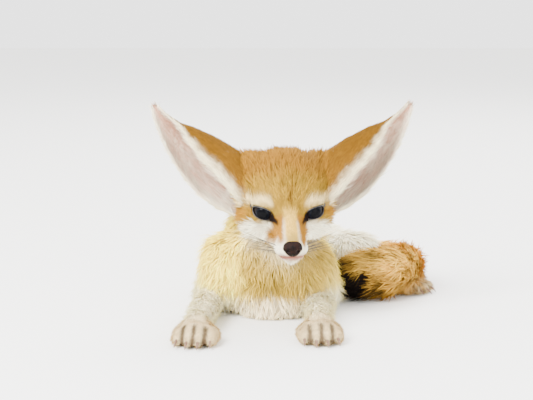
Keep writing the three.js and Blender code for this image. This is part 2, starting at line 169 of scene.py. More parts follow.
# coats: the fur's depth over the skin, a tuft's length, width and lift, and the layers that cover the skin
coatKeys = ("depth", "length", "width", "lift", "layers")
coatRows = {
    "face": (1.6, 5.5, 0.62, 0.2, 6.0),
    "muzzle": (1.0, 4.6, 0.45, 0.24, 5.5),
    "crown": (2.4, 9.5, 0.7, 0.36, 6.0),
    "cheek": (3.2, 10.5, 0.72, 0.28, 6.0),
    "ruff": (5.5, 14.0, 0.85, 0.36, 5.95),
    "breast": (4.0, 13.0, 1.0, 0.26, 1.8),
    "body": (3.6, 14.0, 1.1, 0.22, 3.2),
    "arm": (2.2, 11.0, 0.9, 0.3, 3.4),
    "paw": (1.0, 4.4, 0.5, 0.24, 3.8),
    "haunch": (3.2, 13.0, 0.95, 0.2, 3.7),
    "tail": (9.5, 16.0, 0.85, 0.3, 6.7),
}
coats = {name: dict(zip(coatKeys, row)) for name, row in coatRows.items()}


# body masses: eggs (middle, half size) and rods (ends, radii), out to the coat's surface
def egg(at, size, coat, lie, heading=0):
    return {"at": at, "size": size, "coat": coat, "lie": lie, "heading": heading, "inHead": False}


def rod(start, end, radii, coat, lie=None):
    lie = lie or tuple(b - a for a, b in zip(start, end))
    return {"from": start, "to": end, "radii": radii, "coat": coat, "lie": lie, "inHead": False}


def bothSides(mass):
    other = dict(mass)
    for key in ("at", "lie"):
        other[key] = (-mass[key][0], *mass[key][1:])
    return [mass, other]


eye = {"spread": 18, "forward": 22.5, "up": 3.8, "radius": 9, "gaze": 16, "slant": 22}

headMasses = [
    egg((0, 5, 10), (35, 37, 34), "crown", (0, 1, 0.5)),
    *bothSides(egg((24, 12, 25), (15, 15, 15), "crown", (0.5, 0.8, 0.3))),
    rod((0, -28, -4), (0, -55, -14), (15, 8.5), "muzzle", (0, 1, 0.4)),
    rod((0, -32, 3), (0, -57, -9.5), (7, 4), "muzzle", (0, 1, 0.5)),
    egg((0, -4, -16), (22, 22, 14), "cheek", (0, 0.6, -0.6)),
    *bothSides(egg((15, -21, 11), (12, 9, 8), "face", (0.35, 0.5, 0.8))),
    *bothSides(egg((20, 0, -7), (17, 22, 17.5), "cheek", (0.7, 0.6, -0.45))),
    *bothSides(egg((31, 14, 14), (10, 13, 18), "cheek", (0.6, 0.5, 0.1))),
    *bothSides(egg((5.0, -49, -17.2), (7.6, 10, 6.3), "muzzle", (0.75, 0.6, -0.35))),
    *bothSides(egg((18, -22.5, 3.8), (11, 11, 11), "face", (0.6, 0.6, 0.1))),
    rod((0, -14, -23), (0, -50, -23), (11, 5.2), "muzzle", (0, 1, -0.3)),
]
for mass in headMasses:
    mass["inHead"] = True

trunkMasses = [
    rod((12, -12, 84), (3, 14, 64), (29, 34), "ruff", (0, 0.25, -1)),
    egg((0, 14, 34), (44, 46, 42), "breast", (0, 0.5, -0.8)),
    egg((4, -10, 15), (31, 28, 27), "breast", (0, -0.1, -1)),
    egg((2, -14, 42), (36, 25, 26), "ruff", (0, -0.1, -1)),
    egg((2, 26, 56), (28, 36, 26), "body", (0, 1, -0.2)),
    egg((-35, -6, 40), (19, 27, 26), "ruff", (-0.3, -0.2, -1)),
    egg((35, -6, 38), (18, 27, 24), "ruff", (0.3, -0.2, -1)),
    egg((12, 66, 33), (37, 46, 33), "body", (0.15, 1, -0.3)),
    egg((16, 78, 40), (28, 40, 27), "body", (0.15, 1, -0.1)),
    egg((40, 114, 27), (31, 42, 25), "haunch", (0.4, 1, -0.2), heading=-38),
]

foreLegs = {
    "right": {"elbow": (-45, 2, 13), "wrist": (-53, -88, 11), "heading": -6},
    "left": {"elbow": (42, 2, 13), "wrist": (38, -82, 11), "heading": 3},
}
hindLegs = {
    "left": {"hip": (50, 120, 25), "knee": (74, 80, 26.5), "heel": (90, 128, 8), "toe": (122, 74, 6.5)},
    "right": {"hip": (26, 112, 28), "knee": (-6, 72, 26), "heel": (-12, 128, 9), "toe": (-30, 60, 7)},
}
paw = {"ahead": 14, "palmAhead": 12, "palm": (14, 15, 9.5), "hindSize": 0.92}  # ahead of the wrist
toe = {
    "spread": 8.2, "length": 15, "radius": 5.2, "back": 10, "sink": 0.2, "outerSetBack": 5,
    "offsets": (-1.5, -0.5, 0.5, 1.5),
    "joints": ((0.5, 1.0, 1.2), (-0.35, 0.96, 0.4)),  # place along the toe, share of its radius, lift
}
sides = {"left": 1, "right": -1}
blends = {"head": 2.5, "trunk": 5, "leg": 3, "toes": 1.0, "tail": 2, "union": 2.5}


def setBackOf(offset):
    return toe["outerSetBack"] if abs(offset) > 1 else 0


def pawPlaces(name):
    # where a fore paw's and a hind paw's toes spread from, their heading and their size
    wrist, hind = foreLegs[name]["wrist"], hindLegs[name]
    tip, heel = hind["toe"], hind["heel"]
    heading = math.degrees(math.atan2(tip[0] - heel[0], heel[1] - tip[1]))
    return [((wrist[0], wrist[1] - paw["ahead"], 0), foreLegs[name]["heading"], 1),
            ((tip[0], tip[1], 0), heading, paw["hindSize"])]


def toeMasses(at, heading, size):
    made = []
    for offset in toe["offsets"]:
        z = toe["radius"] * size - toe["sink"]
        for along, radius, lift in toe["joints"]:
            x, y = turned(offset * toe["spread"] * size,
                          (along * toe["length"] - toe["back"]) * size + setBackOf(offset), heading)
            made.append((at[0] + x, at[1] + y, z + lift, toe["radius"] * size * radius))
    lie = (*turned(0, -1, heading), -0.25)
    return [rod(a[:3], b[:3], (a[3], b[3]), "paw", lie) for a, b in zip(made[::2], made[1::2])]


def legGroups(name, side):
    leg, hind = foreLegs[name], hindLegs[name]
    elbow, wrist, knee, heel = leg["elbow"], leg["wrist"], hind["knee"], hind["heel"]
    forePaw, hindPaw = pawPlaces(name)
    palm = egg((wrist[0], wrist[1] - paw["palmAhead"], 8), paw["palm"], "paw",
               (*turned(0, -1, leg["heading"]), -0.3), heading=leg["heading"])
    return [
        (blends["leg"], [rod((side * 37, -8, 30), (side * 43, 4, 17), (17, 15), "arm", (0, -0.5, -0.8))]),
        (blends["leg"], [rod(elbow, wrist, (13.5, 10), "arm"), palm]),
        (blends["toes"], toeMasses(*forePaw)),
        (blends["leg"], [rod(hind["hip"], knee, (22, 25), "haunch", (0.35 * side, -0.3, -0.9))]),
        (blends["leg"], [rod((knee[0], knee[1], 15), heel, (13, 8.5), "arm")]),
        (blends["leg"], [rod(heel, hind["toe"], (8, 7.5), "arm")]),
        (blends["toes"], toeMasses(*hindPaw)),
    ]


# the tail curls round the fox's left side; its core is flesh, and the rest of its radius is brush
tail = {
    "line": [(62, 138, 26), (84, 143, 20), (102, 133, 17), (112, 112, 18), (115, 87, 20), (111, 62, 22.5),
             (96, 43, 23.5), (74, 36, 22), (56, 36, 18)],
    "radii": [11, 12.5, 14, 16, 19, 22.5, 23.5, 21, 13],
    "core": 0.62,
    "steps": 24,
}


def catmullRom(points, count):
    points = np.array(points, float)
    padded = np.vstack([2 * points[0] - points[1], points, 2 * points[-1] - points[-2]])
    spots = np.linspace(0, len(points) - 1, count)
    low = np.minimum(spots.astype(int), len(points) - 2)
    t = (spots - low)[:, None]
    p0, p1, p2, p3 = (padded[low + i] for i in range(4))
    return 0.5 * (2 * p1 + (p2 - p0) * t + (2 * p0 - 5 * p1 + 4 * p2 - p3) * t ** 2
                  + (3 * p1 - p0 - 3 * p2 + p3) * t ** 3)


tailPath = catmullRom(tail["line"], tail["steps"] + 1)
stations = len(tail["radii"])
tailReach = np.interp(np.linspace(0, stations - 1, tail["steps"] + 1), range(stations), tail["radii"])
tailCore = tailReach * tail["core"] + coats["tail"]["depth"]  # the coat's depth comes off again below
tailMasses = [rod(tuple(tailPath[i]), tuple(tailPath[i + 1]), tuple(tailCore[i:i + 2]), "tail")
              for i in range(tail["steps"])]

bodyGroups = [(blends["head"], headMasses), (blends["trunk"], trunkMasses)]
for name, side in sides.items():
    bodyGroups += legGroups(name, side)
bodyGroups.append((blends["tail"], tailMasses))
allMasses = [mass for _, masses in bodyGroups for mass in masses]


def massDistance(mass, points, headPoints):
    depth = coats[mass["coat"]]["depth"]
    spots = headPoints if mass["inHead"] else points
    if "at" in mass:
        gone = spots - np.array(mass["at"], float)
        size = np.array(mass["size"], float) - depth
        x, y = turned(gone[:, 0], gone[:, 1], -mass["heading"])
        x, y, z = x / size[0], y / size[1], gone[:, 2] / size[2]
        reach = np.sqrt(x * x + y * y + z * z)
        steepness = np.sqrt((x / size[0]) ** 2 + (y / size[1]) ** 2 + (z / size[2]) ** 2) + 1e-9
        return reach * (reach - 1) / steepness
    start, run = np.array(mass["from"], float), np.array(mass["to"], float) - np.array(mass["from"], float)
    share = np.clip((spots - start) @ run / (run @ run), 0, 1)
    radius = mass["radii"][0] * (1 - share) + mass["radii"][1] * share - depth
    return np.linalg.norm(spots - start - share[:, None] * run, axis=1) - radius


def fieldOf(points):
    # distance to the soft union of all masses
    headPoints = toHead(points)
    total = np.zeros(len(points))
    for blendWidth, masses in bodyGroups:
        near = np.zeros(len(points))
        for mass in masses:
            near += np.exp(np.clip(-massDistance(mass, points, headPoints) / blendWidth, -60, 60))
        total += near ** (blendWidth / blends["union"])
    return -blends["union"] * np.log(total + 1e-300)


def coatAt(points, blendWidth=3.5):
    # every point's coat and lie, blended from the masses nearest to it, and each kind's share in it
    headPoints = toHead(points)
    total = np.zeros(len(points))
    values = {key: np.zeros(len(points)) for key in coatKeys[1:]}
    shares = {key: np.zeros(len(points)) for key in coats}
    lie = np.zeros((len(points), 3))
    for mass in allMasses:
        weight = np.exp(np.clip(-massDistance(mass, points, headPoints) / blendWidth, -40, 40))
        total += weight
        for key in values:
            values[key] += weight * coats[mass["coat"]][key]
        shares[mass["coat"]] += weight
        way = np.array(mass["lie"], float)
        way /= np.linalg.norm(way)
        lie += weight[:, None] * (way @ headAxes.T if mass["inHead"] else way)
    for table in (values, shares):
        for key in table:
            table[key] /= total
    return values, shares, lie / total[:, None]


# the ears: a scoop whose wall runs round the back of its axis, from inside the head to the tip
ear = {
    "axis": [(25, 8, -5), (36, 10, 9), (49.5, 13.6, 22), (62.5, 16.4, 33), (75, 19, 44), (85.4, 21, 53.5),
             (93.8, 23, 64), (100, 25, 74.5)],
    "radius": [10, 18.5, 22, 19.6, 15, 9.5, 4.8, 1.2],
    "wrapHalf": [145, 140, 134, 131, 126, 108, 95, 90],  # degrees of wall to each side
    "openTurn": [44, 44, 43, 42, 36, 20, 10, 5],  # degrees that the opening is turned outwards
    "outwards": (0.7, 0, -0.71),
    "end": 0.992,
    "wall": 1.5,
    "columns": 44,
    "rows": 64,
    "steps": 200,
    "grid": (110, 80),
}
earPath = catmullRom(ear["axis"], ear["steps"] + 1)
earWay = unit(np.gradient(earPath, axis=0))


def earStations(share):
    spots = np.clip(share, 0, 1) * ear["steps"]
    axis, along = (np.stack([np.interp(spots, range(ear["steps"] + 1), path[:, k]) for k in range(3)], -1)
                   for path in (earPath, earWay))
    along = unit(along)
    count = len(ear["radius"])
    station = np.clip(share, 0, 1) * (count - 1)
    values = [np.interp(station, range(count), ear[key]) for key in ("radius", "wrapHalf", "openTurn")]
    lean = np.array(ear["outwards"])
    outwards = unit(lean - along * (along @ lean)[..., None])
    forwards = unit(np.cross(outwards, along))
    forwards *= np.where(forwards[..., 1:2] > 0, -1, 1)
    return axis, outwards, forwards, values


def earPoint(share, across, side, out=0.0):
    # across runs from -1 to 1 round the ear's wall
    axis, outwards, forwards, (radius, wrapHalf, openTurn) = earStations(share)
    angle = np.radians(openTurn + 180 + across * wrapHalf)
    way = forwards * np.cos(angle)[..., None] + outwards * np.sin(angle)[..., None]
    spots = axis + way * np.maximum(radius + out, 0.3)[..., None]
    mirror = np.array([side, 1, 1])
    return fromHead(spots * mirror), (way * mirror) @ headAxes.T


def earMesh(side):
    work = bmesh.new()
    bmesh.ops.create_grid(work, x_segments=ear["columns"], y_segments=ear["rows"], size=1)
    flat = np.array([v.co for v in work.verts])
    spots, _ = earPoint((flat[:, 1] + 1) / 2 * ear["end"], flat[:, 0], side)
    for vert, place in zip(work.verts, spots):
        vert.co = place
    bmesh.ops.recalc_face_normals(work, faces=work.faces)
    bmesh.ops.solidify(work, geom=work.faces[:], thickness=ear["wall"])
    bmesh.ops.recalc_face_normals(work, faces=work.faces)
    return meshFrom(work, "ear")


# the skin: one body under the coat, remeshed from balls and ears and then drawn onto the soft union
skinShape = {"voxel": 1.5, "ballSegments": 28, "ballGap": 4, "least": 1.5, "passes": 5, "relaxed": 3,
             "relax": 0.4, "near": (2.5, 4), "step": 2.5, "floor": 0.35}

roundWork = bmesh.new()
bmesh.ops.create_uvsphere(roundWork, u_segments=skinShape["ballSegments"],
                          v_segments=skinShape["ballSegments"] // 2, radius=1)
roundMesh = meshFrom(roundWork, "round")


def addBall(work, at, radii, turn=Matrix.Identity(3)):
    radii = [max(radius, skinShape["least"]) for radius in radii]
    ball = roundMesh.copy()
    ball.transform(Matrix.Translation(Vector(at)) @ (turn @ Matrix.Diagonal(Vector(radii))).to_4x4())
    joinInto(work, ball)


def placeOf(mass, key):
    return fromHead(mass[key]) if mass["inHead"] else np.array(mass[key], float)


def addMass(work, mass):
    depth = coats[mass["coat"]]["depth"]
    if "at" in mass:
        turn = headTurn if mass["inHead"] else Matrix.Identity(3)
        spin = turn @ Matrix.Rotation(math.radians(mass["heading"]), 3, "Z")
        addBall(work, placeOf(mass, "at"), [half - depth for half in mass["size"]], spin)
        return
    start, end = placeOf(mass, "from"), placeOf(mass, "to")
    steps = max(2, int(Vector(end - start).length / skinShape["ballGap"]))
    for i in range(steps + 1):
        share = i / steps
        radius = mass["radii"][0] * (1 - share) + mass["radii"][1] * share - depth
        addBall(work, start + (end - start) * share, [radius] * 3)


print("skin: masses")
bodyWork = bmesh.new()
for mass in allMasses:
    addMass(bodyWork, mass)
for side in sides.values():
    joinInto(bodyWork, earMesh(side))
skin = objectFrom(meshFrom(bodyWork, "skin"), "skin")
bpy.context.view_layer.objects.active = skin
skin.select_set(True)
skin.data.remesh_voxel_size = skinShape["voxel"]
bpy.ops.object.voxel_remesh()
print("skin: remeshed to", len(skin.data.vertices), "points")

# points all over the two ears, to tell which points of the skin are theirs
gridShare, gridAcross = (grid.ravel() for grid in np.meshgrid(
    np.linspace(0, ear["end"], ear["grid"][0]), np.linspace(-1, 1, ear["grid"][1]), indexing="ij"))
earGrid = [earPoint(gridShare, gridAcross, side, ear["wall"] / 2) for side in sides.values()]
earSpots, earWays = (np.vstack(part) for part in zip(*earGrid))
earSides = np.repeat(list(sides.values()), gridShare.size)
earTree = KDTree(len(earSpots))
for i, place in enumerate(earSpots):
    earTree.insert(place, i)
earTree.balance()
inEar = np.array([1 - smoothStep(1.4, 2.4, earTree.find(point)[2]) for point in pointsOf(skin.data)])

for step in range(skinShape["passes"]):
    points, normals = pointsOf(skin.data), readTable(skin.data.vertex_normals, "vector")
    away = fieldOf(points)
    onBody = (1 - smoothStep(*skinShape["near"], away)) * (1 - inEar * (away > -0.4))  # the ears stay
    points -= normals * (np.clip(away, -skinShape["step"], skinShape["step"]) * onBody)[:, None]
    putPoints(skin.data, points)
    if step < skinShape["relaxed"]:
        relax = bmesh.new()
        relax.from_mesh(skin.data)
        bmesh.ops.smooth_vert(relax, verts=relax.verts, factor=skinShape["relax"], use_axis_x=True,
                              use_axis_y=True, use_axis_z=True)
        relax.to_mesh(skin.data)
        relax.free()
        skin.data.update()

# flat where the skin rests on the floor
points = pointsOf(skin.data)
points[:, 2] = np.maximum(points[:, 2], skinShape["floor"])
putPoints(skin.data, points)
print("skin: shaped")

# the opening between the lids; ring: share of the opening and height over the eyeball
lids = {
    "half": 8.9, "rise": 3.7, "fall": 4.6, "margin": 1.35, "sunk": 1.6, "thickness": 0.35, "steps": 72,
    "rings": [(0.90, -0.9), (0.97, 0.15), (1.02, 0.7), (1.08, 0.95), (1.16, 0.8), (1.26, 0.1), (1.34, -0.9)],
}


def eyeFrame(side):
    # the eye's own frame: x along the opening, y up across it, z out along the gaze
    gaze = Matrix.Rotation(math.radians(side * eye["gaze"]), 3, "Z")
    out = np.array(gaze @ Vector((0, -1, 0)))
    tilt = math.radians(side * eye["slant"])
    across = np.array(gaze @ Matrix.Rotation(-tilt, 3, "Y") @ Vector((1, 0, 0)))
    centre = np.array([side * eye["spread"], -eye["forward"], eye["up"]])
    return centre, across, -np.cross(out, across), out


def eyeLocal(headPoints, side):
    centre, across, up, out = eyeFrame(side)
    gone = headPoints - centre
    return gone @ across * side, gone @ up, gone @ out  # x is positive towards the outer corner


def lidOutline(angle):
    # one turn round the opening, 0 at the outer corner and a quarter turn at the top
    x = np.cos(angle)
    upper, lower = lids["rise"] * (1 + 0.25 * x), lids["fall"] * (1 - 0.15 * x)
    y = np.where(np.sin(angle) > 0, upper, lower) * np.sin(angle) * np.abs(np.sin(angle)) ** 0.25
    return lids["half"] * x, y


def lidShare(x, y):
    # 1 on the outline of the opening, less inside it
    edgeX, edgeY = lidOutline(np.arctan2(y / 4.2, x / lids["half"]))
    return np.hypot(x, y) / np.maximum(np.hypot(edgeX, edgeY), 1e-3)


mouth = {"height": -20.2, "slope": 0.045, "droop": 0.0048, "half": 0.9, "depth": 0.9, "grooveDepth": 0.5}


def sculptHead(points):
    local = toHead(points)
    for side in sides.values():
        x, y, z = eyeLocal(local, side)
        share = lidShare(x, y)
        centre = eyeFrame(side)[0]
        reach = np.linalg.norm(local - centre, axis=1)
        ways = unit(local - centre)
        front = smoothStep(0, 3, z) * (reach < 2 * eye["radius"] + 1)
        inside = (1 - smoothStep(1.06, 1.26, share)) * front
        around = smoothStep(1.0, 1.2, share) * (1 - smoothStep(1.5, 2.3, share)) * front
        lidReach = eye["radius"] + lids["margin"]
        target = np.maximum(reach, lidReach) * 0.5 + lidReach * 0.5
        reach = reach * (1 - around) + target * around
        reach = reach * (1 - inside) + np.minimum(reach, eye["radius"] - lids["sunk"]) * inside
        hit = (front > 0) & ((inside > 0) | (around > 0))
        local[hit] = centre + ways[hit] * reach[hit, None]
    # the line of the mouth, and the groove under the nose
    x, y, z = local.T
    line = mouth["height"] - mouth["slope"] * (y + 62) - mouth["droop"] * x * x
    ahead = (1 - smoothStep(-36, -30, y)) * smoothStep(-75, -70, y) * (z < -10)
    crease = np.exp(-((z - line) / mouth["half"]) ** 2) * ahead
    groove = np.exp(-(x / 0.8) ** 2) * (1 - smoothStep(-58, -55, y)) * (z < -18) * (z > -22)
    inwards = -unit(local - np.array([0, -40, -18]))
    local += inwards * (mouth["depth"] * crease + mouth["grooveDepth"] * groove)[:, None]
    return fromHead(local)


putPoints(skin.data, sculptHead(pointsOf(skin.data)))
smoothShade(skin.data)
print("skin: head sculpted")

# the coat's colours
hexes = {
    "crown": "#80581a", "forehead": "#8f6f22", "brow": "#e6cc8e", "bridge": "#cfa748",
    "bridgeEnd": "#6f6038", "rust": "#94651f", "mask": "#f9efd0", "temple": "#956618", "lips": "#8a5245",
    "eyeRim": "#130a07", "neck": "#f6da55", "bib": "#ae8f34", "clump": "#4f390a", "belly": "#f3e0b6",
    "back": "#dfb75a", "flank": "#fbe6a6", "leg": "#fdf0c8", "paw": "#e0c898", "toeGapShade": "#3a2014",
    "haunch": "#fdf3d4", "tailTop": "#eab84c", "tail": "#c69438", "tailRust": "#9c7430",
    "tailTip": "#0d0807", "earBack": "#6e4a10", "earEdge": "#f9e9bd", "earSkin": "#b8704f",
    "earHair": "#f8e9cf",
}
shade = {key: np.array(toLinear(value)[:3]) for key, value in hexes.items()}
headKinds = ("face", "muzzle", "crown", "cheek")


def plain(key, points):
    return shade[key] + np.zeros((len(points), 3))


def lay(colours, key, share, strength=1.0):
    # one of the coat's colours over the others, darker where strength is under 1
    return mix(colours, shade[key] * strength, np.clip(share, 0, 1))


def mottle(points, size, seed):
    # soft value noise from a few crossing waves, mostly from -1 to 1 and never past 2
    draw = np.random.default_rng(seed)
    total = np.zeros(len(points))
    for _ in range(7):
        way = draw.normal(size=3)
        total += np.sin(points @ (way / np.linalg.norm(way)) * (2 * math.pi / size) * draw.uniform(0.6, 1.5)
                        + draw.uniform(0, 6.28))
    return total / 3.5


def oval(a, b, at, radii):
    # 1 at the middle of an oval in a plane, 0 outside it
    return 1 - smoothStep(0.55, 1.15, np.hypot((a - at[0]) / radii[0], (b - at[1]) / radii[1]))


def faceHeight(local):
    # height on the face, which slopes back, level with the eyes at 0
    return (local[:, 2] - 3.8) * 0.956 + (local[:, 1] + 31.5) * 0.292


# markings of the head: a side is a distance from the middle of the face, and a pair is where one fades out
headMarks = {
    "crownHeight": (17, 33), "templeSide": (26, 33), "templeHeight": (-8, -1),
    "browHeight": 8.2, "browHalf": 2.6, "browTop": 24, "browInner": (10, 15), "browOuter": (31, 37),
    "maskHeight": (-7.5, -3.0), "maskSide": 25,
    "bridgeSide": (3.6, 6.0), "bridgeHeight": (-3, 6), "bridgeFoot": -18, "bridgeEnd": (-62, -53),
    "stripeSide": 9.4, "stripeHalf": 4.5, "stripeFoot": (-25, -18), "stripeHead": (-3.5, 0.5),
    "cornerAt": (33, 0.5), "cornerHalf": (6.5, 4.5),
    "lineHalf": 9, "lineFoot": (0, 6), "lineHead": (20, 30), "strandWidth": 2.6, "strandFoot": (2, 9),
    "lipHeight": -20.8, "lipHalf": 2.7, "lipFront": (-56, -46),
    "rim": (1.12, 1.42), "tearAt": (-10.6, -0.8), "tearHalf": (4.6, 1.9),
    "outerAt": (10.4, 0.9), "outerHalf": (3.0, 1.2),
}


def paintHead(points):
    marks = headMarks
    local = toHead(points)
    x, y, z = local.T
    side, height = np.abs(x), faceHeight(local)
    grain = mottle(points, 9, 1)
    colours = lay(plain("forehead", points), "crown",
                  smoothStep(*marks["crownHeight"], height + 2 * grain + 0.10 * side))
    temple = smoothStep(*marks["templeSide"], side + 1.5 * grain) * smoothStep(*marks["templeHeight"], height)
    colours = lay(colours, "temple", temple * 0.7)
    # pale brows over the eyes
    arch = height - marks["browHeight"] + 0.012 * (side - marks["browTop"]) ** 2 - 0.05 * side
    brow = np.exp(-(arch / marks["browHalf"]) ** 2) * smoothStep(*marks["browInner"], side)
    brow = brow * (1 - smoothStep(*marks["browOuter"], side))
    colours = lay(colours, "brow", brow * (0.95 + 0.3 * grain))
    # white mask under the eyes, from the lips back to the cheeks
    rise = 0.05 * (side - 18) + 0.22 * np.clip(side - marks["maskSide"], 0, 15)
    colours = lay(colours, "mask", 1 - smoothStep(*marks["maskHeight"], height + rise + 0.6 * grain))
    # bridge of the muzzle, darker at the nose
    bridge = (1 - smoothStep(*marks["bridgeSide"], side)) * (1 - smoothStep(*marks["bridgeHeight"], height))
    bridge = bridge * (z > marks["bridgeFoot"])
    colours = lay(colours, "bridge", bridge)
    colours = lay(colours, "bridgeEnd", bridge * (1 - smoothStep(*marks["bridgeEnd"], y)) * 0.6)
    # rust stripes from the inner corners of the eyes down to the whisker pads
    centre = marks["stripeSide"] + 0.03 * np.clip(-3 - height, 0, 30)
    stripe = np.exp(-((side - centre) / marks["stripeHalf"]) ** 4)
    stripe = stripe * smoothStep(*marks["stripeFoot"], height + 2 * grain)
    stripe = stripe * (1 - smoothStep(*marks["stripeHead"], height))
    colours = lay(colours, "rust", stripe * (1.1 + 0.12 * grain))
    # brown behind the outer corners
    colours = lay(colours, "temple", oval(side, height, marks["cornerAt"], marks["cornerHalf"]) * 0.85)
    # dark lines down the forehead, and finer ones all over it
    wave = np.sin(x * 1.05 + 0.5 * np.sin(height * 0.2)) * 0.5 + 0.5
    lines = smoothStep(0.45, 0.95, wave + 0.25 * grain) * np.exp(-(x / marks["lineHalf"]) ** 2)
    lines = lines * smoothStep(*marks["lineFoot"], height) * (1 - smoothStep(*marks["lineHead"], height))
    colours = lay(colours, "crown", lines * 0.8, strength=0.5)
    strand = smoothStep(0.25, 0.8, mottle(points * np.array([1, 0.3, 0.3]), marks["strandWidth"], 21))
    strand = strand * smoothStep(*marks["strandFoot"], height)
    colours = lay(colours, "crown", strand * (1 - brow) * 0.35, strength=0.6)
    # lips
    lips = np.exp(-((z - marks["lipHeight"] + 0.01 * x * x) / marks["lipHalf"]) ** 2)
    colours = lay(colours, "lips", lips * (1 - smoothStep(*marks["lipFront"], y)))
    # dark rims round the eyes, drawn out to their corners
    for way in sides.values():
        eyeX, eyeY, eyeZ = eyeLocal(local, way)
        rim = (1 - smoothStep(*marks["rim"], lidShare(eyeX, eyeY))) * (eyeZ > 2)
        tear = oval(eyeX, eyeY, marks["tearAt"], marks["tearHalf"]) * (eyeZ > 0)
        outer = oval(eyeX, eyeY, marks["outerAt"], marks["outerHalf"]) * (eyeZ > 0)
        colours = lay(colours, "eyeRim", np.maximum(rim, np.maximum(tear, outer * 0.8)))
    return colours


def alongTail(points):
    return np.linalg.norm(points[:, None, :] - tailPath[None], axis=2).argmin(1)


# markings of the tail: heights over its middle line, and shares of its length
tailMarks = {"top": (-2, 9), "low": (-10, 0), "root": (0.02, 0.1), "streaks": (0.5, 0.66),
             "tip": (0.72, 0.84), "tipTop": (2, 9), "tipEnd": (0.84, 0.92)}


def paintTail(points):
    marks = tailMarks
    nearest = alongTail(points)
    share = nearest / tail["steps"]
    height = points[:, 2] - tailPath[nearest, 2]
    grain = mottle(points, 14, 5)
    colours = lay(plain("tail", points), "tailTop", smoothStep(*marks["top"], height + 2 * grain))
    colours = lay(colours, "tailRust", (1 - smoothStep(*marks["low"], height + 2 * grain)) * 0.5)
    colours = lay(colours, "haunch", 1 - smoothStep(*marks["root"], share))
    streak = smoothStep(0.2, 0.9, mottle(points * np.array([0.35, 1, 1]), 7, 8))
    colours = lay(colours, "tailRust", streak * smoothStep(*marks["streaks"], share) * 0.75, strength=0.45)
    # the black tip starts lower down, under a paler top
    low = 1 - 0.55 * smoothStep(*marks["tipTop"], height) * (1 - smoothStep(*marks["tipEnd"], share))
    return lay(colours, "tailTip", smoothStep(*marks["tip"], share + 0.04 * grain) * low)


# markings of the body, in its own x, y and z
bodyMarks = {"bibSide": (-26, -10), "bibBack": (-10, 5), "clumpAt": (3, 35), "clumpHalf": (13, 9),
             "bellyTop": (19, 29), "ruffBack": (10, 40), "flankTop": (34, 60), "haunchTop": (44, 60),
             "legTop": (18, 34), "gap": (0.10, 0.32), "gapFrom": -4, "gapTo": -30, "gapSide": 14}


def paintPaws(points):
    marks = bodyMarks
    colours = plain("paw", points)
    for name in sides:
        for at, heading, size in pawPlaces(name):
            gone = points - np.array(at)
            x, y = turned(gone[:, 0], gone[:, 1], -heading)
            between = (x / (toe["spread"] * size)) % 1.0
            between = np.minimum(between, 1 - between)  # 0 in each gap between two toes
            onToes = (y < marks["gapFrom"]) * (y > marks["gapTo"]) * (np.abs(x) < marks["gapSide"])
            # painted shade: the gaps between the toes darkened where shade falls into them
            colours = lay(colours, "toeGapShade", (1 - smoothStep(*marks["gap"], between)) * onToes * 0.85)
    return colours


def paintCoat(points, shares):
    marks = bodyMarks
    grain = mottle(points, 22, 2)
    x, y, z = points.T
    bib = smoothStep(*marks["bibSide"], x + 5 * grain) * (1 - smoothStep(*marks["bibBack"], y))
    ruff = lay(plain("neck", points), "bib", bib)
    (clumpX, clumpZ), (halfX, halfZ) = marks["clumpAt"], marks["clumpHalf"]
    clump = np.exp(-((x - clumpX) / halfX) ** 2 - ((z - clumpZ) / halfZ) ** 2) * (y < -10)
    ruff = lay(ruff, "clump", clump * smoothStep(-0.4, 0.5, mottle(points, 6, 9)) * 0.75)
    ruff = lay(ruff, "belly", (1 - smoothStep(*marks["bellyTop"], z + 2 * grain)) * 0.95)
    ruff = lay(ruff, "back", smoothStep(*marks["ruffBack"], y) * 0.7)
    parts = [
        (headKinds, paintHead(points)),
        (("ruff", "breast"), ruff),
        (("body",), lay(plain("flank", points), "back", smoothStep(*marks["flankTop"], z + 4 * grain))),
        (("haunch",), lay(plain("haunch", points), "back", smoothStep(*marks["haunchTop"], z) * 0.5)),
        (("arm",), lay(plain("leg", points), "neck", smoothStep(*marks["legTop"], z) * 0.8)),
        (("paw",), paintPaws(points)),
        (("tail",), paintTail(points)),
    ]
    return sum(sum(shares[key] for key in kinds)[:, None] * colours for kinds, colours in parts)


# where each point of the skin lies: on the body, or on an ear and where on it
print("skin: coat and colours")
points, normals = pointsOf(skin.data), readTable(skin.data.vertex_normals, "vector")
values, shares, lie = coatAt(points)
onEar = smoothStep(0.3, 2.2, fieldOf(points)) * (inEar > 0.02)
touched = np.flatnonzero(onEar > 0.01)
nearest = np.array([earTree.find(points[i])[1] for i in touched])
earShare, earAcross, earInside, earSide = np.zeros((4, len(points)))
earShare[touched] = np.tile(gridShare, 2)[nearest]
earAcross[touched] = np.tile(gridAcross, 2)[nearest]
earSide[touched] = earSides[nearest]
earInside[touched] = smoothStep(-0.2, 0.3, -(normals[touched] * earWays[nearest]).sum(1))

# markings of the ears: shares of their length, and of their width from the middle to the rim
earMarks = {"root": (0.1, 0.45), "edge": (0.80, 0.97), "whiteRoot": (0.08, 0.3), "middle": 0.1,
            "middleHalf": 0.3, "rows": 34, "hollowHalf": 0.5, "hollowFoot": (0.12, 0.24),
            "hollowHead": (0.38, 0.6)}


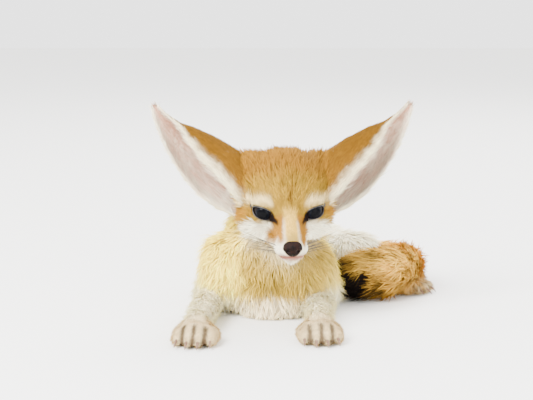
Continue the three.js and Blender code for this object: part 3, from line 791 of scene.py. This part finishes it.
def paintEars(points):
    marks = earMarks
    grain = mottle(points, 8, 11)
    rim, middle = np.abs(earAcross), earAcross - marks["middle"]
    back = lay(plain("earBack", points), "crown", 1 - smoothStep(*marks["root"], earShare))
    back = lay(back, "earEdge", smoothStep(*marks["edge"], rim + 0.04 * grain))
    inner = lay(plain("earSkin", points), "earHair", 0.45 + 0.5 * rim + 0.25 * grain)
    inner = lay(inner, "earHair", 1 - smoothStep(*marks["whiteRoot"], earShare))
    inner = lay(inner, "earSkin", np.exp(-(middle / marks["middleHalf"]) ** 2) * 0.45, strength=0.82)
    # hairs lie in rows with bare skin between them, barest low down in the middle, where the bare skin is
    # also painted darker as shade in the ear's hollow
    rows = smoothStep(0.1, 0.9, np.sin(earAcross * marks["rows"] + 3 * grain)) * (1 - rim ** 3)
    inner = lay(inner, "earSkin", rows * 0.7)
    hollow = np.exp(-(middle / marks["hollowHalf"]) ** 2) * smoothStep(*marks["hollowFoot"], earShare)
    hollow = hollow * (1 - smoothStep(*marks["hollowHead"], earShare))
    # painted shade: the bare skin in the hollow is set to six tenths of its own colour
    inner = lay(inner, "earSkin", hollow * 0.85, strength=0.6)
    return mix(back, inner, earInside)


colours = mix(paintCoat(points, shares), paintEars(points), onEar)
earLie = earWay[(earShare * ear["steps"]).astype(int)]
earLie[earSide < 0] *= (-1, 1, 1)
lie = mix(lie, earLie @ headAxes.T, onEar)
earCoat = {  # longest low down inside the ear, and long at its rim
    "length": (5 + 7 * earInside * (1 - smoothStep(0.2, 0.75, earShare))
               + 2 * smoothStep(0.85, 1, np.abs(earAcross))),
    "width": 0.5,
    "lift": 0.16 + 0.12 * earInside,
    "layers": 2.9,
}
for key in values:
    values[key] = values[key] * (1 - onEar) + earCoat[key] * onEar

# near the eyes, nose and lips the fur is short and lies away from them
nearNose = {"at": (0, -60, -13.5), "half": (8.6, 6.4, 6.8), "bare": 1.12}
local = toHead(points)
headShare = sum(shares[key] for key in headKinds) * (1 - onEar)
bare = np.zeros(len(points))
for side in sides.values():
    eyeX, eyeY, eyeZ = eyeLocal(local, side)
    share = lidShare(eyeX, eyeY)
    near = (1 - smoothStep(1.3, 2.8, share)) * (eyeZ > 0) * headShare
    centre, _, _, out = eyeFrame(side)
    away = unit(local - centre - ((local - centre) @ out)[:, None] * out)
    lie = mix(lie, away @ headAxes.T, near * 0.8)
    values["length"] *= 1 - 0.6 * near
    values["width"] *= 1 - 0.35 * near
    bare = np.maximum(bare, (share < 1.22) & (eyeZ > 0))
noseShare = np.linalg.norm((local - np.array(nearNose["at"])) / np.array(nearNose["half"]), axis=1)
bare = np.maximum(bare, noseShare < nearNose["bare"])
values["length"] *= 0.55 + 0.45 * smoothStep(1.0, 2.0, noseShare)
# on the stripes and beside them it is as short as velvet
x, y, z = local.T
height = faceHeight(local)
velvet = smoothStep(1, 4, np.abs(x)) * (1 - smoothStep(16, 21, np.abs(x))) * smoothStep(-36, -30, height)
velvet = velvet * (1 - smoothStep(-3, 1, height)) * headShare
values["length"] *= 1 - 0.4 * velvet
values["lift"] *= 1 - 0.3 * velvet
# the forehead parts from the middle, and the cheeks sweep out and back
part = np.stack([0.35 * np.tanh(x / 9), np.full(len(x), 0.55), np.full(len(x), 0.75)], 1)
frontal = headShare * smoothStep(4, 10, z) * (1 - smoothStep(10, 25, y))
lie = mix(lie, part @ headAxes.T, frontal * 0.8 * (1 - bare))
lie = unit(lie - normals * (lie * normals).sum(1)[:, None])
# under the body, against the floor, nothing grows
bare = np.maximum(bare, (points[:, 2] < 1.2) & (normals[:, 2] < -0.4))
# towards its tip the tail's fur lies closer
closer = smoothStep(0.72, 1.0, alongTail(points) / tail["steps"]) * shares["tail"]
values["length"] *= 1 - 0.3 * closer
values["lift"] *= 1 - 0.5 * closer
# locks swirl most on the ruff and least on the ears
swirl = 0.35 + 0.9 * (shares["ruff"] + shares["breast"]) + 0.4 * shares["body"] + 0.5 * shares["tail"]
swirl = swirl * (1 - onEar) + 0.2 * onEar


def paintPoints(mesh, values):
    layer = mesh.color_attributes.new("coat", "FLOAT_COLOR", "POINT")
    flat = np.ones((len(values), 4), np.float32)
    flat[:, :3] = np.clip(values, 0, 1)
    layer.data.foreach_set("color", flat.ravel())


# the skin is darker than the fur over it, as fur is at its roots
legShare = (shares["arm"] + shares["paw"]) * (1 - onEar)
rootTone = 0.62 + 0.2 * onEar * earInside + 0.10 * headShare + 0.2 * legShare
paintPoints(skin.data, colours * rootTone[:, None])

print("skin: unwrap")
putPoints(skin.data, points * mm)
bpy.ops.object.mode_set(mode="EDIT")
bpy.ops.mesh.select_all(action="SELECT")
bpy.ops.uv.smart_project(angle_limit=math.radians(66), island_margin=0.002)
bpy.ops.object.mode_set(mode="OBJECT")
skin.data.uv_layers.active.name = "OFBake"

# tufts: thin, tapered, three-sided blades rooted in the skin
skin.data.calc_loop_triangles()
corners = readTable(skin.data.loop_triangles, "vertices", kind=np.int32)
loops = readTable(skin.data.loop_triangles, "loops", kind=np.int32)
uvs = readTable(skin.data.uv_layers["OFBake"].data, "uv", width=2)
first, second, third = (points[corners[:, k]] for k in range(3))
areas = np.linalg.norm(np.cross(second - first, third - first), axis=1) / 2

coatPieces = {
    "coatFace": {"kinds": ["face", "muzzle"], "rings": 1, "slot": "fur_sand"},
    "coatCrown": {"kinds": ["crown"], "rings": 2, "slot": "fur_sand"},
    "coatCheeks": {"kinds": ["cheek"], "rings": 2, "slot": "fur_white"},
    "coatRuffLeft": {"kinds": ["ruff"], "rings": 2, "slot": "fur_cream", "side": 1},
    "coatRuffRight": {"kinds": ["ruff"], "rings": 2, "slot": "fur_cream", "side": -1},
    "coatBreast": {"kinds": ["breast"], "rings": 2, "slot": "fur_cream"},
    "coatBack": {"kinds": ["body"], "rings": 2, "slot": "fur_cream"},
    "coatLegs": {"kinds": ["arm"], "rings": 1, "slot": "fur_cream"},
    "coatPaws": {"kinds": ["paw"], "rings": 1, "slot": "fur_white"},
    "coatHaunches": {"kinds": ["haunch"], "rings": 2, "slot": "fur_cream"},
    "coatTailBase": {"kinds": ["tail"], "rings": 2, "slot": "fur_sand", "end": -1},
    "coatTailTip": {"kinds": ["tail"], "rings": 2, "slot": "fur_black", "end": 1},
    "coatEarLeft": {"kinds": ["earLeft"], "rings": 1, "slot": "fur_rust"},
    "coatEarRight": {"kinds": ["earRight"], "rings": 1, "slot": "fur_rust"},
}
kindNames = list(coats) + ["earLeft", "earRight"]
kinds = np.stack(list(shares.values()), 1).argmax(1)
kinds = np.where(onEar > 0.5, len(coats) + (earSide < 0), kinds)
tuftLook = {
    "most": 190000,  # triangles in one piece
    "midline": 4, "tailMiddle": 62,  # where the ruff and the tail are parted in two pieces
    "spread": 0.17, "swirlSize": 13, "clumpSize": 7, "swaySize": 11, "toneSize": 5,
    "arch": (1.35, 0.55), "rootDepth": 0.5, "floor": 0.45, "ridge": 0.7, "roundness": 0.4,
    "rootTone": 0.72, "tipTone": 1.12, "guardHairs": ("coatCrown", "coatTailBase", "coatBack"),
    "guardShare": 0.05, "guardTone": 0.5, "patch": 0.003,
}
ringSteps = {1: [0, 1], 2: [0, 0.5, 1]}  # places of the rings and the tip along a tuft
ringWidths = {1: [0.9], 2: [0.7, 0.9]}


def growCoat(name, piece, seed):
    look = tuftLook
    draw = np.random.default_rng(seed)
    kindIds = [kindNames.index(key) for key in piece["kinds"]]
    mine = np.isin(kinds[corners[:, 0]], kindIds) & (bare[corners].max(1) < 0.5)
    middle = points[corners].mean(1)
    if "side" in piece:
        mine &= (middle[:, 0] - look["midline"]) * piece["side"] > 0
    if "end" in piece:
        mine &= (look["tailMiddle"] - middle[:, 1]) * piece["end"] > 0
    faces = np.flatnonzero(mine)
    covered = values["width"][corners[faces]].mean(1) * values["length"][corners[faces]].mean(1) * 0.5
    weight = areas[faces] * values["layers"][corners[faces]].mean(1) / covered
    rings = piece["rings"]
    perTuft = 6 * rings - 2
    count = int(min(weight.sum(), look["most"] / perTuft))
    picked = faces[draw.choice(len(faces), count, p=weight / weight.sum())]
    across, down = np.sqrt(draw.random(count)), draw.random(count)
    inFace = np.stack([1 - across, across * (1 - down), across * down], 1)  # a root's place in its face

    def at(table):
        return (table[corners[picked]] * (inFace[..., None] if table.ndim > 1 else inFace)).sum(1)

    root, normal, way = at(points), unit(at(normals)), unit(at(lie))
    turns = mottle(root, look["swirlSize"], seed + 1)
    spread = draw.normal(0, look["spread"], count) + at(swirl) * 0.5 * turns
    way = unit(way + unit(np.cross(normal, way)) * spread[:, None])
    side = unit(np.cross(normal, way))
    clump = mottle(root, look["clumpSize"], 33)
    length = at(values["length"]) * draw.uniform(0.6, 1.2, count) * (1 + 0.12 * clump)
    width = at(values["width"]) * draw.uniform(0.7, 1.3, count)
    lift = at(values["lift"]) * draw.uniform(0.4, 1.6, count) * (1 + 0.3 * clump)
    sway = (draw.normal(0, 0.10, count) + 0.12 * mottle(root, look["swaySize"], 35)) * length
    rise, fall = look["arch"]
    spine = []
    for step in ringSteps[rings]:
        height = lift * length * (rise * step - fall * step * step) - look["rootDepth"] * (step == 0)
        spine.append(root + way * (length * step)[:, None] + normal * height[:, None]
                     + side * (sway * step * step)[:, None])
    spine = np.stack(spine, 1)
    spine[..., 2] = np.maximum(spine[..., 2], look["floor"])

    # three points to a ring, two on the skin's side and one on the ridge, and one at the tip
    perVerts = rings * 3 + 1
    verts = np.empty((count, perVerts, 3))
    vertNormals = np.empty_like(verts)
    for ring in range(rings):
        half = (ringWidths[rings][ring] * width / 2)[:, None]
        for k, (outwards, upwards, turn) in enumerate([(-1, 0, -1), (1, 0, 1), (0, look["ridge"], 0)]):
            verts[:, ring * 3 + k] = spine[:, ring] + side * half * outwards + normal * half * upwards
            vertNormals[:, ring * 3 + k] = unit(normal + side * look["roundness"] * turn)
    verts[:, -1] = spine[:, -1]
    vertNormals[:, -1] = normal
    quads, quadUnder = [], []  # under: the sides that face the skin
    tris, triUnder = [[2, 1, 0]], [True]
    for base in range(0, perVerts - 4, 3):
        for k in range(3):
            quads.append([base + k, base + (k + 1) % 3, base + 3 + (k + 1) % 3, base + 3 + k])
            quadUnder.append(k == 0)
    for k in range(3):
        tris.append([perVerts - 4 + k, perVerts - 4 + (k + 1) % 3, perVerts - 1])
        triUnder.append(k == 0)
    offsets = (np.arange(count) * perVerts)[:, None, None]
    quadIds = (np.array(quads, int).reshape(1, -1, 4) + offsets).reshape(-1, 4)
    triIds = (np.array(tris)[None] + offsets).reshape(-1, 3)
    loopIds = np.concatenate([quadIds.ravel(), triIds.ravel()])
    starts = np.concatenate([np.arange(len(quadIds)) * 4, len(quadIds) * 4 + np.arange(len(triIds)) * 3])
    mesh = bpy.data.meshes.new(name)
    mesh.vertices.add(count * perVerts)
    mesh.vertices.foreach_set("co", (verts.reshape(-1, 3) * mm).astype(np.float32).ravel())
    mesh.loops.add(len(loopIds))
    mesh.loops.foreach_set("vertex_index", loopIds.astype(np.int32))
    mesh.polygons.add(len(starts))
    mesh.polygons.foreach_set("loop_start", starts.astype(np.int32))
    mesh.update(calc_edges=True)

    # colour: a little darker at the root, paler at the tip, and each tuft its own shade
    tone = (1 + draw.normal(0, 0.13, count) + 0.10 * mottle(root, look["toneSize"], 37))[:, None, None]
    along = np.repeat(ringSteps[rings][:-1], 3).tolist() + [1]
    ramp = np.interp(along, [0, 0.5, 1], [look["rootTone"], 1.0, look["tipTone"]])[None, :, None]
    paint = at(colours)[:, None, :] * ramp * tone
    if name in look["guardHairs"]:
        paint[draw.random(count) < look["guardShare"]] *= look["guardTone"]
    paintPoints(mesh, paint.reshape(-1, 3))

    # unwrap: each tuft is a small patch at its root's place on the skin's own unwrap
    rootUv = (uvs[loops[picked]] * inFace[..., None]).sum(1)
    localU = np.array([k % 3 for k in range(perVerts - 1)] + [1]) / 2 - 0.5
    localV = np.array(along) - 0.5
    tuftUv = rootUv[:, None, :] + look["patch"] * np.stack([localU, localV], -1)[None]
    layer = mesh.uv_layers.new(name="OFBake")
    layer.data.foreach_set("uv", tuftUv.reshape(-1, 2)[loopIds].astype(np.float32).ravel())
    smoothShade(mesh)
    under = np.concatenate([np.repeat(np.tile(np.array(quadUnder, bool), count), 4),
                            np.repeat(np.tile(np.array(triUnder, bool), count), 3)])
    loopNormals = vertNormals.reshape(-1, 3)[loopIds]
    loopNormals[under] = -normal[loopIds[under] // perVerts]
    mesh.normals_split_custom_set(loopNormals.astype(np.float32))
    print("coat:", name, count, "tufts,", count * perTuft, "triangles")
    return objectFrom(mesh, name)


coatObjects = [growCoat(name, piece, 40 + i) for i, (name, piece) in enumerate(coatPieces.items())]

# fur: keratin hair that grew in locks, soft and matt, in streaks a little lighter and darker, 2.4 mm apart
fur, furTree, furShader = newMaterial("fennecFur", Roughness=0.72, IOR=1.45, Specular_IOR_Level=0.04)
tint = node(furTree, "ShaderNodeVertexColor", layer_name="coat")
place = node(furTree, "ShaderNodeTexCoord")
streaks = node(furTree, "ShaderNodeTexNoise", [(place.outputs["Object"], "Vector")], Scale=perMetre(2.381),
               Detail=2.0)
strength = node(furTree, "ShaderNodeMapRange", [(streaks.outputs["Fac"], "Value")])
strength.inputs["To Min"].default_value = 0.86
strength.inputs["To Max"].default_value = 1.14
varied = node(furTree, "ShaderNodeVectorMath",
              [(tint.outputs["Color"], 0), (strength.outputs["Result"], "Scale")], operation="SCALE")
furTree.links.new(varied.outputs["Vector"], furShader.inputs["Base Color"])

# skin: the downy undercoat, felted by wear, so that it is matt with soft bumps 1.2 mm apart
down, downTree, downShader = newMaterial("downyUndercoat", Roughness=0.8, Specular_IOR_Level=0.05)
tint = node(downTree, "ShaderNodeVertexColor", layer_name="coat")
place = node(downTree, "ShaderNodeTexCoord")
felt = node(downTree, "ShaderNodeTexNoise", [(place.outputs["Object"], "Vector")], Scale=perMetre(1.2048),
            Detail=3.0)
bump = node(downTree, "ShaderNodeBump", [(felt.outputs["Fac"], "Height")], Strength=0.5, Distance=0.6 * mm)
downTree.links.new(tint.outputs["Color"], downShader.inputs["Base Color"])
downTree.links.new(bump.outputs["Normal"], downShader.inputs["Normal"])
skin.data.materials.append(down)
for piece in coatObjects:
    piece.data.materials.append(fur)

# eyes: a cornea wet with tears over an iris so dark that the round pupil hardly shows, with a soft sheen; the
# faint blue-grey ring round the pupil is a painted reflection
# the blue-grey stop just outside the pupil is a painted reflection, and the other stops are the eye's own
# colours
eyeLook = {"bulge": 0.7, "bulgeEdge": (0.70, 0.93), "sunk": 0.25,
           "stops": [(0.0, "#040406"), (0.26, "#040406"), (0.31, "#0a0d13"), (0.5, "#150f0c"),
                     (0.62, "#0c0806"), (1.0, "#0a0706")]}  # places in quarter turns from the gaze
eyeMaterial, eyeTree, eyeShader = newMaterial("wetEye", Roughness=0.14, IOR=1.2, Specular_IOR_Level=0.2)
gazeAngle = node(eyeTree, "ShaderNodeAttribute", attribute_name="gaze")
irisAndReflection = node(eyeTree, "ShaderNodeValToRGB", [(gazeAngle.outputs["Fac"], "Fac")])
setStops(irisAndReflection, *eyeLook["stops"])
eyeTree.links.new(irisAndReflection.outputs["Color"], eyeShader.inputs["Base Color"])


def makeEye(name, side):
    centre, _, _, out = eyeFrame(side)
    work = bmesh.new()
    bmesh.ops.create_uvsphere(work, u_segments=48, v_segments=32, radius=eye["radius"])
    ways = np.array([v.co.normalized() for v in work.verts])
    facing = ways @ out
    cornea = eyeLook["bulge"] * smoothStep(*eyeLook["bulgeEdge"], facing)
    placeAll(work.verts, fromHead(centre + ways * (eye["radius"] + cornea - eyeLook["sunk"])[:, None]))
    bmesh.ops.recalc_face_normals(work, faces=work.faces)
    piece = objectFrom(meshFrom(work, name), name, eyeMaterial)
    layer = piece.data.attributes.new("gaze", "FLOAT", "POINT")
    layer.data.foreach_set("value", (np.degrees(np.arccos(np.clip(facing, -1, 1))) / 90).astype(np.float32))
    return piece


# lids: bare dark skin, kept wet by blinking, so that its edge shines, with pores 0.7 mm apart
lidMaterial, lidTree, lidShader = newMaterial("lidSkin", Roughness=0.35, Base_Color=toLinear("#15100e"))
place = node(lidTree, "ShaderNodeTexCoord")
pores = node(lidTree, "ShaderNodeTexNoise", [(place.outputs["Object"], "Vector")], Scale=perMetre(0.7143))
bump = node(lidTree, "ShaderNodeBump", [(pores.outputs["Fac"], "Height")], Strength=0.3, Distance=0.3 * mm)
lidTree.links.new(bump.outputs["Normal"], lidShader.inputs["Normal"])


def inTurn(verts):
    return sorted(verts, key=lambda v: math.atan2(v.co.y, v.co.x))


def makeLids(name, side):
    centre, across, up, out = eyeFrame(side)
    work = bmesh.new()
    bmesh.ops.create_circle(work, segments=lids["steps"], radius=1)
    edges = work.edges[:]
    rings = [inTurn(work.verts)]
    for _ in lids["rings"][1:]:
        made = bmesh.ops.extrude_edge_only(work, edges=edges)["geom"]
        rings.append(inTurn(g for g in made if isinstance(g, bmesh.types.BMVert)))
        edges = [g for g in made if isinstance(g, bmesh.types.BMEdge)]
    for (scale, rise), ring in zip(lids["rings"], rings):
        angles = np.array([math.atan2(v.co.y, v.co.x) for v in ring])
        x, y = lidOutline(angles)
        corner = np.maximum(0, -np.cos(angles)) ** 10  # the inner corner is drawn out towards the nose
        x, y = x * (1 + 0.16 * corner) * scale, y * scale
        sunk = 1.1 * smoothStep(0.5, 1, np.cos(angles)) * (scale > 1.05)  # under the fur at the outer corner
        reach = eye["radius"] + rise + 0.2 - sunk
        flat = np.minimum(np.hypot(x, y) / reach, 0.995)
        height = np.sqrt(1 - flat ** 2) * reach
        spots = centre + across * (x * side)[:, None] + up * y[:, None] + out * height[:, None]
        placeAll(ring, fromHead(spots))
    bmesh.ops.recalc_face_normals(work, faces=work.faces)
    piece = objectFrom(meshFrom(work, name), name, lidMaterial)
    piece.modifiers.new("thickness", "SOLIDIFY").thickness = lids["thickness"] * mm
    return piece


eyes = {name: makeEye("eyeball_" + name, side) for name, side in sides.items()}
eyelids = {name: makeLids("eyelids_" + name, side) for name, side in sides.items()}

# nose: bare, moist skin, grown in grains 0.5 mm across that break up its shine, darker in patches 4 mm apart
noseLook = {
    "at": (0, -60.6, -13.7), "half": (7.3, 5.4, 6.3), "segments": (64, 44),
    "nostril": {"side": 3.3, "height": -0.6, "half": (1.5, 1.1), "sharpness": 1.1, "depth": 2.6,
                "spread": 0.8},
    "slit": {"side": 5.6, "height": -1.6, "half": (2.6, 1.8), "sharpness": 2.2, "depth": 1.2, "spread": 0},
    "grooveHalf": 0.55, "grooveTop": (1.5, 3.5), "grooveDepth": 0.8,
}
noseMaterial, noseTree, noseShader = newMaterial("noseLeather", Roughness=0.42, Specular_IOR_Level=0.05)
place = node(noseTree, "ShaderNodeTexCoord")
grains = node(noseTree, "ShaderNodeTexVoronoi", [(place.outputs["Object"], "Vector")], Scale=perMetre(0.5263))
bump = node(noseTree, "ShaderNodeBump", [(grains.outputs["Distance"], "Height")], Strength=0.55,
            Distance=0.4 * mm)
patches = node(noseTree, "ShaderNodeTexNoise", [(place.outputs["Object"], "Vector")], Scale=perMetre(3.846))
leather = node(noseTree, "ShaderNodeValToRGB", [(patches.outputs["Fac"], "Fac")])
setStops(leather, (0.35, "#0b0706"), (0.7, "#1c0f0b"))
noseTree.links.new(leather.outputs["Color"], noseShader.inputs["Base Color"])
noseTree.links.new(bump.outputs["Normal"], noseShader.inputs["Normal"])


def makeNose():
    work = bmesh.new()
    around, down = noseLook["segments"]
    bmesh.ops.create_uvsphere(work, u_segments=around, v_segments=down, radius=1)
    spots = np.array([v.co for v in work.verts], float)
    z = spots[:, 2].copy()
    spots[:, 0] *= 1 - 0.28 * smoothStep(0, 1, -z)  # narrower below and wider above
    spots[:, 0] *= 1 + 0.08 * smoothStep(0.1, 0.8, z)
    spots[:, 1] *= 1 - 0.12 * smoothStep(0.4, 1, z)
    spots *= np.array(noseLook["half"])
    for side in sides.values():
        for hole in (noseLook["nostril"], noseLook["slit"]):
            reach = np.hypot((spots[:, 0] - side * hole["side"]) / hole["half"][0],
                             (spots[:, 2] - hole["height"]) / hole["half"][1])
            dip = np.exp(-reach ** 2 * hole["sharpness"]) * (spots[:, 1] < 0)
            spots[:, 1] += hole["depth"] * dip
            spots[:, 0] += side * hole["spread"] * dip
    groove = np.exp(-(spots[:, 0] / noseLook["grooveHalf"]) ** 2) * (spots[:, 1] < 0)
    spots[:, 1] += noseLook["grooveDepth"] * groove * (1 - smoothStep(*noseLook["grooveTop"], spots[:, 2]))
    placeAll(work.verts, fromHead(spots + np.array(noseLook["at"])))
    bmesh.ops.recalc_face_normals(work, faces=work.faces)
    return objectFrom(meshFrom(work, "noseLeather"), "noseLeather", noseMaterial)


noseObject = makeNose()


def taperedRod(work, start, way, look, size, thickness, drop, bend=(0, 0, 0)):
    # a straight cone on Z, cut into short rings, laid along way and bent down by drop
    length = look["length"] * size
    single = bmesh.new()
    bmesh.ops.create_cone(single, cap_ends=True, cap_tris=False, segments=look["segments"],
                          radius1=look["radius"] * thickness, radius2=look["tip"], depth=length)
    spines = [e for e in single.edges if abs(e.verts[0].co.z - e.verts[1].co.z) > length / 2]
    bmesh.ops.subdivide_edges(single, edges=spines, cuts=look["cuts"])
    start, way = Vector(start), Vector(way).normalized()
    turn = way.to_track_quat("Z", "Y")
    for vert in single.verts:
        share = vert.co.z / length + 0.5
        flat = turn @ Vector((vert.co.x, vert.co.y, 0))
        vert.co = (start + way * (length * share) + Vector((0, 0, -drop * share * share)) + flat
                   + Vector(bend) * share * share) * mm
    joinInto(work, meshFrom(single, "rod"))


# claws: brown horn, grown in fine layers 1.1 mm apart that show as paler and darker bands
clawLook = {"length": 7.5, "radius": 1.25, "tip": 0.25, "drop": 2.6, "segments": 10, "cuts": 5,
            "ahead": 19.5, "height": 5.4, "splay": 0.06, "slope": -0.12}
clawMaterial, clawTree, clawShader = newMaterial("clawHorn", Roughness=0.32, IOR=1.55)
place = node(clawTree, "ShaderNodeTexCoord")
layers = node(clawTree, "ShaderNodeTexNoise", [(place.outputs["Object"], "Vector")], Scale=perMetre(1.111),
              Detail=3.0)
horn = node(clawTree, "ShaderNodeValToRGB", [(layers.outputs["Fac"], "Fac")])
setStops(horn, (0, "#4a3126"), (1, "#8a6a52"))
clawTree.links.new(horn.outputs["Color"], clawShader.inputs["Base Color"])
clawWork = bmesh.new()
for name in sides:
    for at, heading, size in pawPlaces(name):
        for offset in toe["offsets"]:
            x, y = turned(offset * toe["spread"] * size, -clawLook["ahead"] * size + setBackOf(offset),
                          heading)
            way = (*turned(clawLook["splay"] * offset, -1, heading), clawLook["slope"])
            taperedRod(clawWork, (at[0] + x, at[1] + y, clawLook["height"] * size), way, clawLook, size,
                       size, clawLook["drop"] * size)
claws = objectFrom(meshFrom(clawWork, "claws"), "claws", clawMaterial)

# whiskers: stiff hairs from both pads, swept back, fading along their length every 17 mm as they grew
whiskerLook = {"rows": 3, "columns": 3, "length": 42, "radius": 0.24, "tip": 0.06, "segments": 5, "cuts": 9,
               "at": (9.5, -53, -14.5), "columnGap": (1.3, 3.4), "rowGap": 2.6, "bend": 7.0}
whiskerMaterial, whiskerTree, whiskerShader = newMaterial("whiskerHair", Roughness=0.4)
place = node(whiskerTree, "ShaderNodeTexCoord")
fade = node(whiskerTree, "ShaderNodeTexNoise", [(place.outputs["Object"], "Vector")], Scale=perMetre(16.67))
keratin = node(whiskerTree, "ShaderNodeValToRGB", [(fade.outputs["Fac"], "Fac")])
setStops(keratin, (0, "#2b2622"), (1, "#3a342e"))
whiskerTree.links.new(keratin.outputs["Color"], whiskerShader.inputs["Base Color"])
draw = np.random.default_rng(12)
whiskerWork = bmesh.new()
for side in sides.values():
    for row in range(whiskerLook["rows"]):
        for column in range(whiskerLook["columns"]):
            x, y, z = whiskerLook["at"]
            x, y = x + whiskerLook["columnGap"][0] * column, y + whiskerLook["columnGap"][1] * column
            start = (side * x, y + draw.uniform(-0.6, 0.6),
                     z - whiskerLook["rowGap"] * row + draw.uniform(-0.5, 0.5))
            way = np.array([side * (0.86 + 0.1 * draw.uniform(-1, 1)),
                            0.62 + 0.064 * row + 0.1 * draw.uniform(-1, 1),
                            0.12 - 0.10 * row + 0.06 * draw.uniform(-1, 1)])
            size = draw.uniform(0.6, 1.05)
            taperedRod(whiskerWork, fromHead(start), way @ headAxes.T, whiskerLook, size, 1,
                       2 * draw.uniform(-0.5, 2), (-side, whiskerLook["bend"], 0))
whiskers = objectFrom(meshFrom(whiskerWork, "whiskers"), "whiskers", whiskerMaterial)
print("face: eyes, lids, nose, claws and whiskers")

# what stands for what
flesh = ["head", "lower_jaw", "ear_left", "ear_right", "neck", "chest", "loin", "hips", "tail_base",
         "tail_middle", "tail_tip"]
limbs = ("upper_arm", "forearm", "fore_paw", "thigh", "shank", "hind_foot")
for name in sides:
    flesh += [part + "_" + name for part in limbs]
clawNodes = [f"{foot}_claw_{name}_{i}" for foot in ("fore", "hind") for name in sides for i in range(1, 5)]
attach(skin, "root")
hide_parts(*flesh)
for piece in coatObjects:
    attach(piece, "root")
for name in sides:
    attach(eyes[name], "root")
    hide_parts("eye_" + name)
    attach(eyelids[name], "root")
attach(noseObject, "root")
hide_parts("nose")
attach(claws, "root")
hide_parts(*clawNodes)
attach(whiskers, "root")

# floor, light and camera
floorWork = bmesh.new()
bmesh.ops.create_grid(floorWork, x_segments=2, y_segments=2, size=4)
floorMaterial, *_ = newMaterial("paleFloor", Roughness=0.7, Base_Color=toLinear("#f4f3f0"))
floor = objectFrom(meshFrom(floorWork, "floor"), "floor", floorMaterial)

world = bpy.data.worlds.new("studio")
world.use_nodes = True
sky = world.node_tree.nodes["Background"]
sky.inputs["Color"].default_value = (1, 1, 1, 1)
sky.inputs["Strength"].default_value = 2.9
bpy.context.scene.world = world

lamps = {
    "keyLight": {"at": (-0.9, -1.2, 1.4), "size": 0.9, "power": 135},
    "fillLight": {"at": (0.9, -1.4, 0.5), "size": 1.2, "power": 18},
    "backLight": {"at": (0.5, 1.2, 1.4), "size": 1.0, "power": 38},
}
lampAim = Vector((0.03, 0.0, 0.07))
for name, lamp in lamps.items():
    data = bpy.data.lights.new(name, "AREA")
    data.size = lamp["size"]
    data.energy = lamp["power"]
    light = bpy.data.objects.new(name, data)
    light.location = lamp["at"]
    light.rotation_euler = (lampAim - Vector(lamp["at"])).to_track_quat("-Z", "Y").to_euler()
    bpy.context.scene.collection.objects.link(light)

cameraLook = {"at": (-1.29, -1141.2, 271.3), "down": 9, "focal": 98.07, "film": 36}
cameraData = bpy.data.cameras.new("camera")
cameraData.lens = cameraLook["focal"]
cameraData.sensor_width = cameraLook["film"]
camera = bpy.data.objects.new("camera", cameraData)
camera.location = Vector(cameraLook["at"]) * mm
camera.rotation_euler = Euler((math.radians(90 - cameraLook["down"]), 0, 0))
bpy.context.scene.collection.objects.link(camera)
bpy.context.scene.camera = camera
